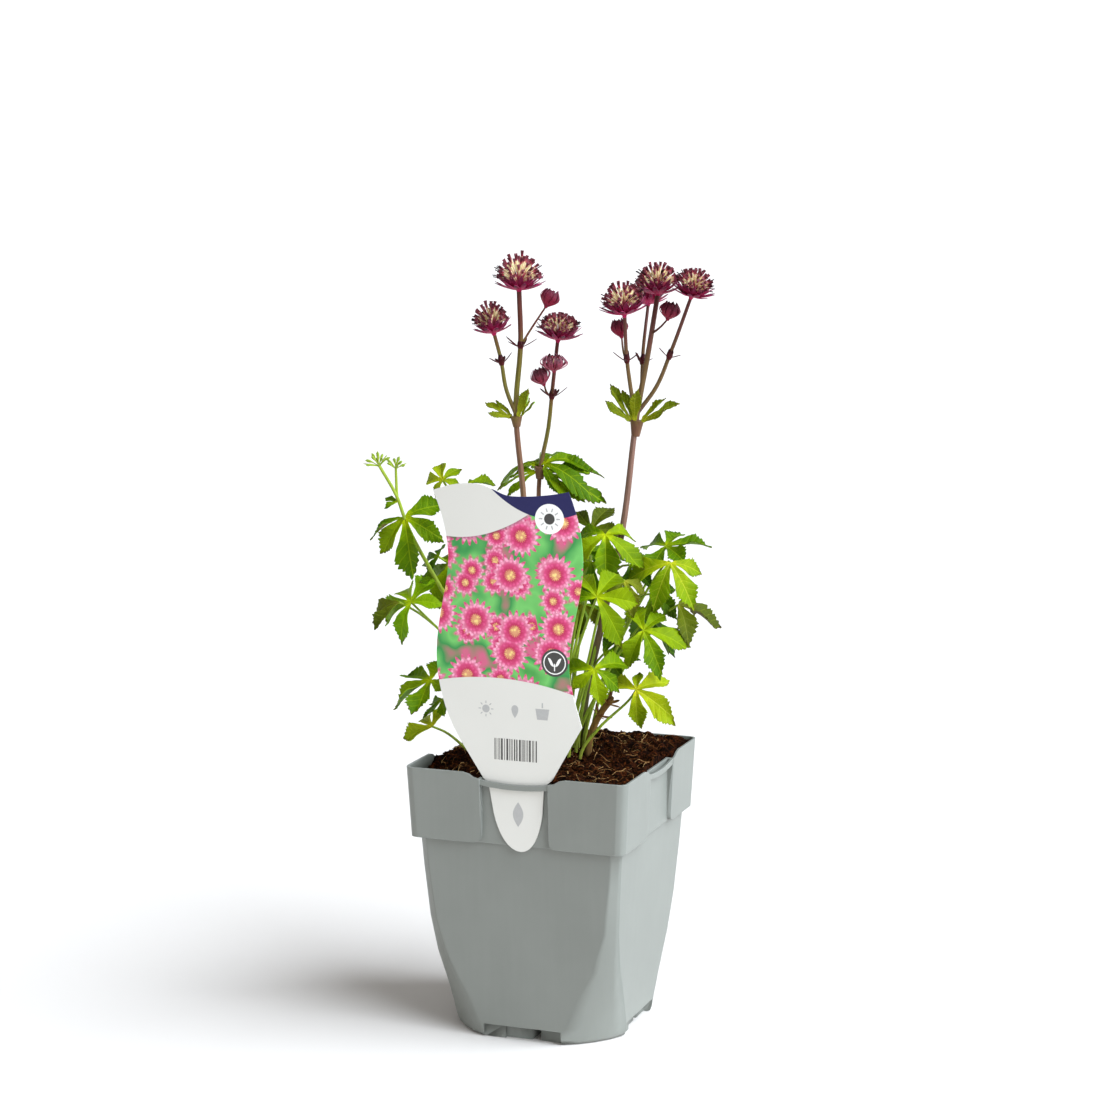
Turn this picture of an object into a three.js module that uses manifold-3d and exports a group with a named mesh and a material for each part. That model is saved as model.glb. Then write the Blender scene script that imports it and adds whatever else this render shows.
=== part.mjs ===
// Potted masterwort: a square nursery pot filled with peat, a plastic stick label, three branched flower
// stems, one green shoot and a crown of toothed palmate leaves. Millimetres, +Z up. The origin is the middle
// of the pot's underside, and the pot's front side faces -Y.

import * as THREE from "three";
import { mergeVertices } from "three/addons/utils/BufferGeometryUtils.js";
import Module from "manifold-3d";

const wasm = await Module();
wasm.setup();

// Driving dimensions: the pot
const POT_HEIGHT = 155;
const RIM_HALF = 65;
const WALL = 1.3;
const BAND_BOTTOM = 115;
const BAND_HALF = 63;
const BAND_CORNER = 5;
const BASE_HALF = 51.5;
const BODY_HALF = 59.5;
// Radius of the rounded corners about the pot's axis, at heights up the body
const CORNER_CUT = [[0, 56.3], [10, 57.8], [25, 61.9], [45, 69], [67, 74.5], [97, 78.5], [BAND_BOTTOM, 80.2]];
const CORNER_STEPS = 4;
const BASE_EDGE = 2.5;
const FLOOR = 1.8;
const RECESS_HALF = 20;
const RECESS_FACE = 60.9;
const RECESS_FLARE = 5;
const DIP_OUTER = 30;
const DIP_TOP = 151.5;
const STRAP_HEIGHT = 3;
const STRAP_SAG = 3.4;
const STRAP_INNER = 62.7;
const STRAP_OUTER = 64.2;
const NOTCH_HALF = 23;
const NOTCH_HEIGHT = 8;
const NOTCH_STEP = -11;
const NOTCH_SHALLOW = 49;
const NOTCH_DEEP = 46.5;
const CHANNEL = [4.5, 9.5];
const CHANNEL_END = 18;
const DRAIN_LENGTH = 14;
const DRAIN_MARGIN = 1;
const DRAIN_SET_BACK = 2;
// How far a cutter runs past what it cuts
const CUT_PAST = 10;

// Driving dimensions: soil, label and plant
const GAP = 0.3;
const SOIL_LEVEL = 151;
const SOIL_CELLS = 11;
const ROOT_DEPTH = 8;
const STALK_START = 1.35;
const STALK_END = 0.8;
const TAG_BACK = 61.2;
const TAG_THICKNESS = 0.7;
const BLADE = 0.7;
const BRACT = 0.65;

// Colours
const GREY = 0x9aa19d;
const PEAT = 0x3a2416;
const LABEL = 0xe9e9e6;
const LEAF = 0x6da50a;
const LEAF_DARK = 0x3f7a10;
const LEAF_YELLOW = 0xa9c11c;
const LEAF_OLIVE = 0x6f7a2c;
const STEM_MAROON = 0x7a4b45;
const STEM_TAUPE = 0x8a7468;
const STALK_GREEN = 0x86a832;
const CRIMSON = 0x7a1244;
const FLORET = 0xc9a486;
const DRY_BROWN = 0x5e3d22;

const plant = new THREE.Group();
plant.name = "potted_masterwort";

// Solids and booleans

function solid(geometry) {
  geometry.deleteAttribute("normal");
  geometry.deleteAttribute("uv");
  const merged = mergeVertices(geometry, 1e-4);
  return new wasm.Manifold(new wasm.Mesh({
    numProp: 3,
    vertProperties: new Float32Array(merged.attributes.position.array),
    triVerts: new Uint32Array(merged.index.array),
  }));
}

function join(parts) {
  return parts.reduce((all, part) => all.add(part));
}

function addPiece(name, body, colour, roughness = 0.6) {
  const mesh = body.getMesh();
  const geometry = new THREE.BufferGeometry();
  geometry.setAttribute("position", new THREE.BufferAttribute(mesh.vertProperties, 3));
  geometry.setIndex(new THREE.BufferAttribute(mesh.triVerts, 1));
  const material = new THREE.MeshStandardMaterial({ color: colour, roughness, metalness: 0 });
  const piece = new THREE.Mesh(geometry, material);
  piece.name = name;
  plant.add(piece);
}

function point(list) {
  return new THREE.Vector3(...list);
}

function seeded(seed) {
  let state = seed;
  return () => {
    state = (state * 1664525 + 1013904223) % 4294967296;
    return state / 4294967296;
  };
}

// A closed skin over rings of equal point count, capped by a fan at each end
function skin(rings) {
  const count = rings[0].length;
  const positions = [];
  for (const ring of rings) {
    for (const p of ring) positions.push(p.x, p.y, p.z);
  }
  const faces = [];
  for (let i = 0; i + 1 < rings.length; i++) {
    for (let j = 0; j < count; j++) {
      const a = i * count + j;
      const b = i * count + (j + 1) % count;
      faces.push(a, b, b + count, a, b + count, a + count);
    }
  }
  const lastRing = (rings.length - 1) * count;
  const bottom = positions.length / 3;
  const top = bottom + 1;
  positions.push(0, 0, rings[0][0].z, 0, 0, rings[rings.length - 1][0].z);
  for (let j = 0; j < count; j++) {
    const next = (j + 1) % count;
    faces.push(bottom, next, j, top, lastRing + j, lastRing + next);
  }
  const geometry = new THREE.BufferGeometry();
  geometry.setAttribute("position", new THREE.Float32BufferAttribute(positions, 3));
  geometry.setIndex(faces);
  return solid(geometry);
}

// An outline in X and Z, extruded along Y between two distances from the axis on the front side
function frontPrism(shape, nearAxis, farAxis, curveSegments = 6) {
  const geometry = new THREE.ExtrudeGeometry(shape, {
    depth: farAxis - nearAxis,
    bevelEnabled: false,
    curveSegments,
  });
  geometry.rotateX(Math.PI / 2);
  geometry.translate(0, -nearAxis, 0);
  return geometry;
}

function box(x0, x1, y0, y1, z0, z1) {
  const geometry = new THREE.BoxGeometry(x1 - x0, y1 - y0, z1 - z0);
  geometry.translate((x0 + x1) / 2, (y0 + y1) / 2, (z0 + z1) / 2);
  return geometry;
}

// The same cutter or rib on all four sides of the pot
function onFourSides(makeGeometry) {
  const sides = [0, 1, 2, 3].map((turn) => {
    const geometry = makeGeometry();
    geometry.rotateZ(turn * Math.PI / 2);
    return solid(geometry);
  });
  return join(sides);
}

// A round limb along a curve, tapered, with its ends pushed out by the same clearance as its sides
function limb(points, radiusStart, radiusEnd, sides = 6, steps = 6, clearance = 0) {
  const curve = new THREE.CatmullRomCurve3(points.map(point));
  const frames = curve.computeFrenetFrames(steps, false);
  const geometry = new THREE.CylinderGeometry(1, 1, 1, sides, steps);
  const position = geometry.attributes.position;
  for (let i = 0; i < position.count; i++) {
    const step = Math.round((position.getY(i) + 0.5) * steps);
    const along = step / steps;
    const radius = THREE.MathUtils.lerp(radiusStart, radiusEnd, along) + clearance;
    const centre = curve.getPointAt(along);
    if (step === 0) centre.addScaledVector(frames.tangents[step], -clearance);
    if (step === steps) centre.addScaledVector(frames.tangents[step], clearance);
    centre.addScaledVector(frames.binormals[step], position.getX(i) * radius);
    centre.addScaledVector(frames.normals[step], position.getZ(i) * radius);
    position.setXYZ(i, centre.x, centre.y, centre.z);
  }
  return solid(geometry);
}

// A thin closed blade of even thickness about a surface of points and triangles
function blade(points, faces, thickness) {
  const normals = points.map(() => new THREE.Vector3());
  const edges = new Map();
  for (const [a, b, c] of faces) {
    const normal = points[b].clone().sub(points[a]).cross(points[c].clone().sub(points[a]));
    for (const corner of [a, b, c]) normals[corner].add(normal);
    for (const [from, to] of [[a, b], [b, c], [c, a]]) edges.set(`${from} ${to}`, [from, to]);
  }
  const count = points.length;
  const positions = [];
  for (const side of [0.5, -0.5]) {
    points.forEach((p, i) => {
      const shifted = p.clone().addScaledVector(normals[i].clone().normalize(), side * thickness);
      positions.push(shifted.x, shifted.y, shifted.z);
    });
  }
  const triangles = [];
  for (const [a, b, c] of faces) triangles.push(a, b, c, a + count, c + count, b + count);
  for (const [from, to] of edges.values()) {
    if (!edges.has(`${to} ${from}`)) {
      triangles.push(from, from + count, to + count, from, to + count, to);
    }
  }
  const geometry = new THREE.BufferGeometry();
  geometry.setAttribute("position", new THREE.Float32BufferAttribute(positions, 3));
  geometry.setIndex(triangles);
  return solid(geometry);
}

// Pot

function bodyHalfAt(height) {
  return THREE.MathUtils.lerp(BASE_HALF, BODY_HALF, height / BAND_BOTTOM);
}

// A ring of the body: four flats, joined by arcs about the pot's axis
function bodyRing(height, inset, cornerCut, cornerSteps) {
  const half = bodyHalfAt(height) - inset;
  const radius = cornerCut - inset;
  const start = Math.acos(Math.min(1, half / radius));
  const ring = [];
  for (let quarter = 0; quarter < 4; quarter++) {
    for (let i = 0; i <= cornerSteps; i++) {
      const angle = quarter * Math.PI / 2 + THREE.MathUtils.lerp(start, Math.PI / 2 - start, i / cornerSteps);
      ring.push(new THREE.Vector3(radius * Math.cos(angle), radius * Math.sin(angle), height));
    }
  }
  return ring;
}

function bandRing(half, corner, height) {
  const cornerSteps = 3;
  const ring = [];
  for (let quarter = 0; quarter < 4; quarter++) {
    for (let i = 0; i <= cornerSteps; i++) {
      const angle = (quarter + i / cornerSteps) * Math.PI / 2;
      const p = new THREE.Vector3(half - corner, half - corner, height);
      p.applyAxisAngle(new THREE.Vector3(0, 0, 1), quarter * Math.PI / 2);
      p.x += corner * Math.cos(angle);
      p.y += corner * Math.sin(angle);
      ring.push(p);
    }
  }
  return ring;
}

function potBody() {
  const rings = CORNER_CUT.slice(1).map(([height, cut]) => bodyRing(height, 0, cut, CORNER_STEPS));
  const baseCut = CORNER_CUT[0][1];
  const foot = [[0, BASE_EDGE], [BASE_EDGE * 0.3, BASE_EDGE * 0.3], [BASE_EDGE, 0]];
  const edge = foot.map(([height, inset]) => bodyRing(height, inset, baseCut, CORNER_STEPS));
  return skin([...edge, ...rings]);
}

function potBand() {
  return skin([
    bandRing(BAND_HALF, BAND_CORNER, BAND_BOTTOM),
    bandRing(RIM_HALF, BAND_CORNER, POT_HEIGHT),
  ]);
}

// The space inside the wall, shrunk by the inset
function potInside(inset) {
  const levels = [CORNER_CUT[0], CORNER_CUT[2], CORNER_CUT[4], CORNER_CUT[6]];
  const bodyRings = levels.map(([height, cut], i) => {
    const ring = bodyRing(i === 0 ? FLOOR : height, inset, cut, CORNER_STEPS - 1);
    const lift = inset - WALL;
    for (const p of ring) p.z += i === 0 ? lift : 0;
    return ring;
  });
  const ledge = BAND_BOTTOM + inset;
  const throat = bodyRings[bodyRings.length - 1].map((p) => p.clone().setZ(ledge + WALL));
  const body = skin([...bodyRings, throat]);
  const aboveRim = POT_HEIGHT + CUT_PAST;
  const widen = (RIM_HALF - BAND_HALF) * CUT_PAST / (POT_HEIGHT - BAND_BOTTOM);
  const band = skin([
    bandRing(BAND_HALF - inset, BAND_CORNER - WALL, ledge),
    bandRing(RIM_HALF + widen - inset, BAND_CORNER - WALL, aboveRim),
  ]);
  return body.add(band);
}

// The recess in the band: straight sides that flare out at the bottom corners
function recessCutter(grow) {
  const half = RECESS_HALF + grow;
  const flare = RECESS_FLARE;
  const bottom = BAND_BOTTOM - 2;
  const above = POT_HEIGHT + 2 * CUT_PAST;
  const shape = new THREE.Shape();
  shape.moveTo(-half - flare, bottom);
  shape.lineTo(half + flare, bottom);
  shape.lineTo(half + flare, BAND_BOTTOM);
  shape.quadraticCurveTo(half, BAND_BOTTOM, half, BAND_BOTTOM + flare);
  shape.lineTo(half, above);
  shape.lineTo(-half, above);
  shape.lineTo(-half, BAND_BOTTOM + flare);
  shape.quadraticCurveTo(-half, BAND_BOTTOM, -half - flare, BAND_BOTTOM);
  return onFourSides(() => frontPrism(shape, RECESS_FACE - grow, RIM_HALF + CUT_PAST, 4));
}

// The rim's shallow dip over each recess
function dipCutter() {
  const above = POT_HEIGHT + 2 * CUT_PAST;
  const shape = new THREE.Shape();
  shape.moveTo(-DIP_OUTER, POT_HEIGHT);
  shape.bezierCurveTo(-DIP_OUTER + 5, POT_HEIGHT, -RECESS_HALF - 5, DIP_TOP, -RECESS_HALF, DIP_TOP);
  shape.lineTo(RECESS_HALF, DIP_TOP);
  shape.bezierCurveTo(RECESS_HALF + 5, DIP_TOP, DIP_OUTER - 5, POT_HEIGHT, DIP_OUTER, POT_HEIGHT);
  shape.lineTo(DIP_OUTER, above);
  shape.lineTo(-DIP_OUTER, above);
  return onFourSides(() => frontPrism(shape, RECESS_FACE - CUT_PAST, RIM_HALF + CUT_PAST, 3));
}

function straps() {
  const end = RECESS_HALF + WALL * 0.8;
  const shape = new THREE.Shape();
  shape.moveTo(-end, DIP_TOP - STRAP_HEIGHT);
  shape.quadraticCurveTo(0, DIP_TOP - STRAP_HEIGHT - STRAP_SAG, end, DIP_TOP - STRAP_HEIGHT);
  shape.lineTo(end, DIP_TOP);
  shape.quadraticCurveTo(0, DIP_TOP - STRAP_SAG, -end, DIP_TOP);
  return onFourSides(() => frontPrism(shape, STRAP_INNER, STRAP_OUTER, 6));
}

function notchCutters(grow) {
  const far = BODY_HALF + CUT_PAST;
  const top = NOTCH_HEIGHT + grow;
  const shallow = () => box(-NOTCH_HALF - grow, NOTCH_STEP, -far, -NOTCH_SHALLOW + grow, -1, top);
  const deep = () => box(NOTCH_STEP - grow, NOTCH_HALF + grow, -far, -NOTCH_DEEP + grow, -1, top);
  const channel = () => box(CHANNEL[0] - grow, CHANNEL[1] + grow, -far, -CHANNEL_END + grow, -1, top);
  return join([onFourSides(shallow), onFourSides(deep), onFourSides(channel)]);
}

// Drain slots, one in the roof of each channel
function drainCutters() {
  const left = CHANNEL[0] + DRAIN_MARGIN;
  const right = CHANNEL[1] - DRAIN_MARGIN;
  const near = -CHANNEL_END - DRAIN_SET_BACK;
  const slot = () => box(left, right, near - DRAIN_LENGTH, near, 1, NOTCH_HEIGHT + 5);
  return onFourSides(slot);
}

const notches = notchCutters(0);
const raisedFloor = notchCutters(WALL);
const cavity = potInside(WALL).subtract(recessCutter(WALL)).subtract(raisedFloor);
const pot = potBody().add(potBand())
  .subtract(recessCutter(0))
  .subtract(dipCutter())
  .subtract(notches)
  .subtract(cavity)
  .add(straps())
  .subtract(drainCutters());
addPiece("pot", pot, GREY, 0.45);

// Soil surface: a mound at the crown, a hollow in the front left corner, and small lumps
function soilTop(x, y) {
  const hill = (cx, cy, width) => Math.exp(-((x - cx) ** 2 + (y - cy) ** 2) / (2 * width * width));
  const lumps = Math.sin(x * 0.31 + 1.3) * Math.sin(y * 0.27 + 0.4) + 0.7 * Math.sin(x * 0.67 + y * 0.53);
  const crown = 5.5 * hill(12, 22, 30);
  const hollow = 7.5 * hill(-56, -52, 20);
  const heap = 3 * hill(-44, -16, 12);
  return SOIL_LEVEL + crown - hollow + heap + 0.8 * lumps;
}

// Root leaves: where each blade's hub is, the way its middle lobe points, the way its upper face looks, the
// length of its lobes, the angle of each lobe in degrees with its length against the middle one, and the
// foot of its stalk in the soil
const FIVE = [[0, 1], [58, 0.95], [-58, 0.95], [116, 0.75], [-116, 0.75]];
const THREE_LOBES = [[0, 1], [62, 0.85], [-62, 0.85]];
const LEAVES = [
  { name: "leaf_left_high", hub: [-71, -39, 243], toward: [-0.6, -0.1, 0.79], facing: [-0.25, -0.8, 0.5],
    size: 22, lobes: [[0, 1], [58, 1.35], [-58, 1], [116, 0.95], [-116, 0.75]], foot: [-14, -12],
    colour: LEAF },
  { name: "leaf_left_low", hub: [-57, -45, 201], toward: [-0.85, -0.45, -0.1], facing: [-0.2, -0.5, 0.85],
    size: 25, lobes: FIVE, foot: [-18, -18], colour: LEAF_DARK },
  { name: "leaf_left_small", hub: [-53, -38, 189], toward: [-0.65, -0.6, -0.45], facing: [-0.4, -0.5, 0.75],
    size: 14, lobes: THREE_LOBES, foot: [-25, -21], colour: LEAF_DARK },
  { name: "leaf_left_ground", hub: [-57, -43, 174], toward: [-0.9, -0.4, 0], facing: [-0.1, -0.75, 0.65],
    size: 19, lobes: [[0, 1], [-58, 0.8], [-112, 0.85]], foot: [-37, -27], colour: LEAF_OLIVE },
  { name: "leaf_left_young", hub: [-57, -26, 311], toward: [-0.35, -0.1, 0.93], facing: [0, -0.9, 0.4],
    size: 13, lobes: FIVE, foot: [-11, -5], colour: LEAF_YELLOW },
  { name: "leaf_left_crest", hub: [-44, -20, 309], toward: [0.9, 0.35, 0.1], facing: [-0.1, -0.4, 0.9],
    size: 15, lobes: THREE_LOBES, foot: [-8, 0], colour: LEAF },
  { name: "leaf_left_shade", hub: [-56, -16, 262], toward: [-0.85, -0.35, 0.2], facing: [-0.3, -0.7, 0.6],
    size: 23, lobes: FIVE, foot: [-15, 1], colour: LEAF_DARK },
  { name: "leaf_behind_tag", hub: [-8, -40, 236], toward: [0.1, -0.6, 0.6], facing: [0, -0.7, 0.7],
    size: 21, lobes: FIVE, foot: [0, -16], colour: LEAF },
  { name: "leaf_right_top", hub: [30, 1, 281], toward: [0.25, -0.65, -0.7], facing: [0.25, -0.65, 0.7],
    size: 26, lobes: FIVE, foot: [5, -3], colour: LEAF },
  { name: "leaf_right_olive", hub: [42, -1, 256], toward: [0.5, -0.3, -0.8], facing: [0.5, -0.6, 0.6],
    size: 17, lobes: THREE_LOBES, foot: [10, 1], colour: LEAF_OLIVE },
  { name: "leaf_right_far", hub: [54, 36, 271], toward: [0.9, 0.3, 0.15], facing: [-0.1, -0.45, 0.9],
    size: 26, lobes: [[0, 1], [60, 0.8], [-60, 0.75], [122, 0.9], [-122, 0.8]], foot: [19, 9], colour: LEAF },
  { name: "leaf_right_mid", hub: [64, 14, 265], toward: [0.3, -0.55, -0.78], facing: [0.3, -0.7, 0.62],
    size: 23, lobes: [[-30, 1], [28, 1.1], [84, 0.8], [-90, 1.1]], foot: [17, 2], colour: LEAF_YELLOW },
  { name: "leaf_front_right", hub: [42, -47, 254], toward: [0.42, 0.3, 0.86], facing: [0.3, -0.85, 0.43],
    size: 22, lobes: [[0, 1.05], [58, 0.95], [-58, 1.05], [114, 0.7], [-114, 1.15]], foot: [8, -21],
    colour: LEAF },
  { name: "leaf_right_low", hub: [54, -3, 229], toward: [0.93, 0.32, -0.17], facing: [0.15, -0.75, 0.65],
    size: 24, lobes: [[0, 1.05], [58, 0.8], [-58, 1], [114, 0.95], [-114, 0.8]], foot: [15, -5],
    colour: LEAF },
  { name: "leaf_right_outer", hub: [66, 23, 240], toward: [0.85, 0.3, -0.35], facing: [0.3, -0.3, 0.9],
    size: 26, lobes: THREE_LOBES, foot: [21, 0], colour: LEAF_OLIVE },
  { name: "leaf_front_low", hub: [37, -37, 212], toward: [0.37, -0.52, -0.77], facing: [0.3, -0.75, 0.6],
    size: 20, lobes: [[0, 0.9], [58, 0.8], [-58, 0.75], [114, 1.2], [-114, 0.95]], foot: [15, -17],
    colour: LEAF },
  { name: "leaf_yellow", hub: [53, -12, 197], toward: [0.785, 0.374, 0.494], facing: [0.1, -0.85, 0.5],
    size: 20, lobes: [[0, 1], [60, 0.6], [-60, 1.25], [120, 0.95], [-120, 0.95]], foot: [21, -14],
    colour: LEAF_YELLOW },
  { name: "leaf_back_left", hub: [-48, 28, 240], toward: [-0.8, 0.55, 0.1], facing: [-0.3, 0.3, 0.9],
    size: 25, lobes: FIVE, foot: [-12, 8], colour: LEAF },
  { name: "leaf_back_middle", hub: [-6, 52, 232], toward: [-0.1, 0.95, 0.1], facing: [0, 0.45, 0.9],
    size: 25, lobes: FIVE, foot: [2, 19], colour: LEAF },
  { name: "leaf_back_right", hub: [38, 50, 226], toward: [0.6, 0.8, 0.1], facing: [0.2, 0.3, 0.9],
    size: 24, lobes: FIVE, foot: [11, 17], colour: LEAF_DARK },
  { name: "leaf_back_high", hub: [8, 32, 266], toward: [0.1, 0.9, 0.4], facing: [0, -0.4, 0.9],
    size: 23, lobes: FIVE, foot: [5, 12], colour: LEAF_DARK },
  { name: "leaf_back_low", hub: [-30, 52, 193], toward: [-0.5, 0.85, -0.1], facing: [-0.1, 0.3, 0.95],
    size: 22, lobes: THREE_LOBES, foot: [-6, 15], colour: LEAF_DARK },
  { name: "leaf_side_left", hub: [-56, 4, 213], toward: [-0.95, 0.05, 0.05], facing: [-0.3, -0.1, 0.9],
    size: 22, lobes: FIVE, foot: [-19, 5], colour: LEAF_DARK },
];

// Stations of a lobe, as distance along it and half-width, in lobe lengths: the rib, then the toothed margin
const RIB = [0.42, 0.72];
const RIB_SMALL = [0.5];
const MARGIN = [[0.34, 0.19], [0.6, 0.3], [0.65, 0.215], [0.82, 0.165]];
const MARGIN_SMALL = [[0.34, 0.19], [0.64, 0.3], [0.7, 0.185]];
const SINUS = 0.17;
const FULL_LOBE = 0.85;
// Share of the sector between two sinuses that a lobe fills at most
const SECTOR_SHARE = 0.9;

// One palmate blade: its lobes droop along their length, and fold up a little from the rib
function leafBlade(leaf, droop = 0.28, fold = 0.35) {
  const up = point(leaf.facing).normalize();
  const ahead = point(leaf.toward).addScaledVector(up, -point(leaf.toward).dot(up)).normalize();
  const across = new THREE.Vector3().crossVectors(up, ahead);
  const hub = point(leaf.hub);
  const lobes = [...leaf.lobes].sort((a, b) => a[0] - b[0]);
  const points = [hub.clone()];
  const faces = [];
  const place = (angle, distance, side, lift) => {
    const direction = ahead.clone().multiplyScalar(Math.cos(angle)).addScaledVector(across, Math.sin(angle));
    const sideways = across.clone().multiplyScalar(Math.cos(angle)).addScaledVector(ahead, -Math.sin(angle));
    const p = hub.clone().addScaledVector(direction, distance).addScaledVector(sideways, side);
    points.push(p.addScaledVector(up, lift));
    return points.length - 1;
  };
  const radians = lobes.map(([angle]) => THREE.MathUtils.degToRad(angle));
  const valley = radians.map((angle, i) => (i === 0
    ? angle - THREE.MathUtils.degToRad(30)
    : (angle + radians[i - 1]) / 2));
  valley.push(radians[radians.length - 1] + THREE.MathUtils.degToRad(30));
  const sinuses = valley.map((angle) => place(angle, SINUS * leaf.size, 0, 0.05 * leaf.size));
  lobes.forEach(([, reach], i) => {
    const length = leaf.size * reach;
    const small = reach < FULL_LOBE;
    const height = (along, side) => length * (fold * side - droop * along * along);
    const ribStations = small ? RIB_SMALL : RIB;
    const rib = ribStations.map((along) => place(radians[i], along * length, 0, height(along, 0)));
    const tip = place(radians[i], length, 0, height(1, 0));
    for (const side of [1, -1]) {
      const limit = i + (side > 0 ? 1 : 0);
      const sector = Math.tan(Math.abs(valley[limit] - radians[i])) * SECTOR_SHARE;
      const edge = (small ? MARGIN_SMALL : MARGIN).map(([along, widest]) => {
        const half = Math.min(widest, along * sector);
        return place(radians[i], along * length, side * half * length, height(along, half));
      });
      const sinus = sinuses[limit];
      const last = rib[rib.length - 1];
      const fan = [[0, rib[0], sinus], [rib[0], edge[0], sinus], [rib[0], edge[1], edge[0]]];
      if (small) {
        fan.push([last, edge[2], edge[1]], [last, tip, edge[2]]);
      } else {
        fan.push([rib[0], last, edge[1]], [last, edge[2], edge[1]]);
        fan.push([last, edge[3], edge[2]], [last, tip, edge[3]]);
      }
      for (const [a, b, c] of fan) faces.push(side > 0 ? [a, b, c] : [a, c, b]);
    }
  });
  return blade(points, faces, BLADE);
}

// A leaf's stalk: straight up out of the soil, bowed out, and into the hub from behind
function stalkPoints(leaf) {
  const up = point(leaf.facing).normalize();
  const ahead = point(leaf.toward).normalize();
  const [x, y] = leaf.foot;
  const ground = soilTop(x, y);
  const hub = point(leaf.hub);
  const behind = hub.clone().addScaledVector(ahead, -5).addScaledVector(up, -7);
  const middle = new THREE.Vector3(
    THREE.MathUtils.lerp(x, behind.x, 0.34),
    THREE.MathUtils.lerp(y, behind.y, 0.34),
    THREE.MathUtils.lerp(ground, behind.z, 0.5),
  );
  return [
    [x, y, ground - ROOT_DEPTH],
    [x, y, ground + 4],
    middle.toArray(),
    behind.toArray(),
    hub.toArray(),
  ];
}

// Everything that stands in the soil leaves a plain hole there
const holes = [];

function rooted(points, radiusStart, radiusEnd, sides, steps) {
  holes.push(limb(points, radiusStart, radiusEnd, sides, steps, GAP));
  return limb(points, radiusStart, radiusEnd, sides, steps);
}

for (const leaf of LEAVES) {
  const stalk = rooted(stalkPoints(leaf), STALK_START, STALK_END, 3, 5);
  addPiece(leaf.name, leafBlade(leaf).add(stalk), leaf.colour);
}

// A frame that stands on a base point, along an axis
function standing(base, axis) {
  const up = point(axis).normalize();
  const turn = new THREE.Quaternion().setFromUnitVectors(new THREE.Vector3(0, 0, 1), up);
  const origin = point(base);
  return {
    place: (x, y, z) => new THREE.Vector3(x, y, z).applyQuaternion(turn).add(origin),
    settle: (geometry) => {
      geometry.applyQuaternion(turn);
      geometry.translate(origin.x, origin.y, origin.z);
      return solid(geometry);
    },
  };
}

// A turned body about its own upright axis
function turned(profile, segments) {
  const geometry = new THREE.LatheGeometry(profile.map(([r, h]) => new THREE.Vector2(r, h)), segments);
  geometry.rotateX(Math.PI / 2);
  return geometry;
}

// A flower's foot and its ring of pointed bracts, all one skin: each side face of the foot is drawn out to a
// widest part and a tip, and the middle rises to a peak
const FOOT_RADIUS = 1.5;
const RING_RADIUS = 3;
const RING_HEIGHT = 2.9;
const COLLAR_PEAK = 4;

function bractRing(frame, count, peak, shapeOf) {
  const ringAt = (radius, height) => Array.from({ length: count }, (_, i) => {
    const angle = 2 * Math.PI * i / count;
    return frame.place(radius * Math.cos(angle), radius * Math.sin(angle), height);
  });
  const foot = ringAt(FOOT_RADIUS, 0);
  const lower = ringAt(RING_RADIUS, RING_HEIGHT);
  const upper = ringAt(RING_RADIUS, RING_HEIGHT + BRACT);
  const footMiddle = frame.place(0, 0, 0);
  const summit = frame.place(0, 0, peak);
  const corners = [];
  const quad = (a, b, c, d) => corners.push(a, b, c, a, c, d);
  for (let i = 0; i < count; i++) {
    const next = (i + 1) % count;
    const { reach, lift, halfWidth } = shapeOf(i);
    const angle = 2 * Math.PI * (i + 0.5) / count;
    const place = (out, side, height) => frame.place(
      out * Math.cos(angle) - side * Math.sin(angle),
      out * Math.sin(angle) + side * Math.cos(angle),
      height,
    );
    const steep = Math.atan2(lift, reach);
    const widest = RING_RADIUS + (reach - RING_RADIUS) * 0.55;
    const bend = RING_HEIGHT + lift * 0.45;
    const inward = BRACT * Math.sin(steep);
    const rise = BRACT * Math.cos(steep);
    const under = [place(widest, -halfWidth, bend), place(widest, halfWidth, bend)];
    const over = [-halfWidth, halfWidth].map((side) => place(widest - inward, side, bend + rise));
    const tip = place(reach, 0, RING_HEIGHT + lift);
    corners.push(footMiddle, foot[next], foot[i]);
    quad(foot[i], foot[next], lower[next], lower[i]);
    corners.push(summit, upper[i], upper[next]);
    quad(lower[i], lower[next], under[1], under[0]);
    quad(upper[next], upper[i], over[0], over[1]);
    quad(lower[i], under[0], over[0], upper[i]);
    quad(lower[next], upper[next], over[1], under[1]);
    corners.push(under[0], under[1], tip, over[1], over[0], tip);
    corners.push(over[0], under[0], tip, under[1], over[1], tip);
  }
  return solid(new THREE.BufferGeometry().setFromPoints(corners));
}

function collar(bloom) {
  const random = seeded(bloom.seed);
  return bractRing(standing(bloom.base, bloom.axis), bloom.bracts, COLLAR_PEAK, (i) => {
    const reach = bloom.radius * (0.93 + 0.12 * random());
    return { reach, lift: reach * (i % 2 === 0 ? 0.18 : 0.5), halfWidth: 1.65 };
  });
}

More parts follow.
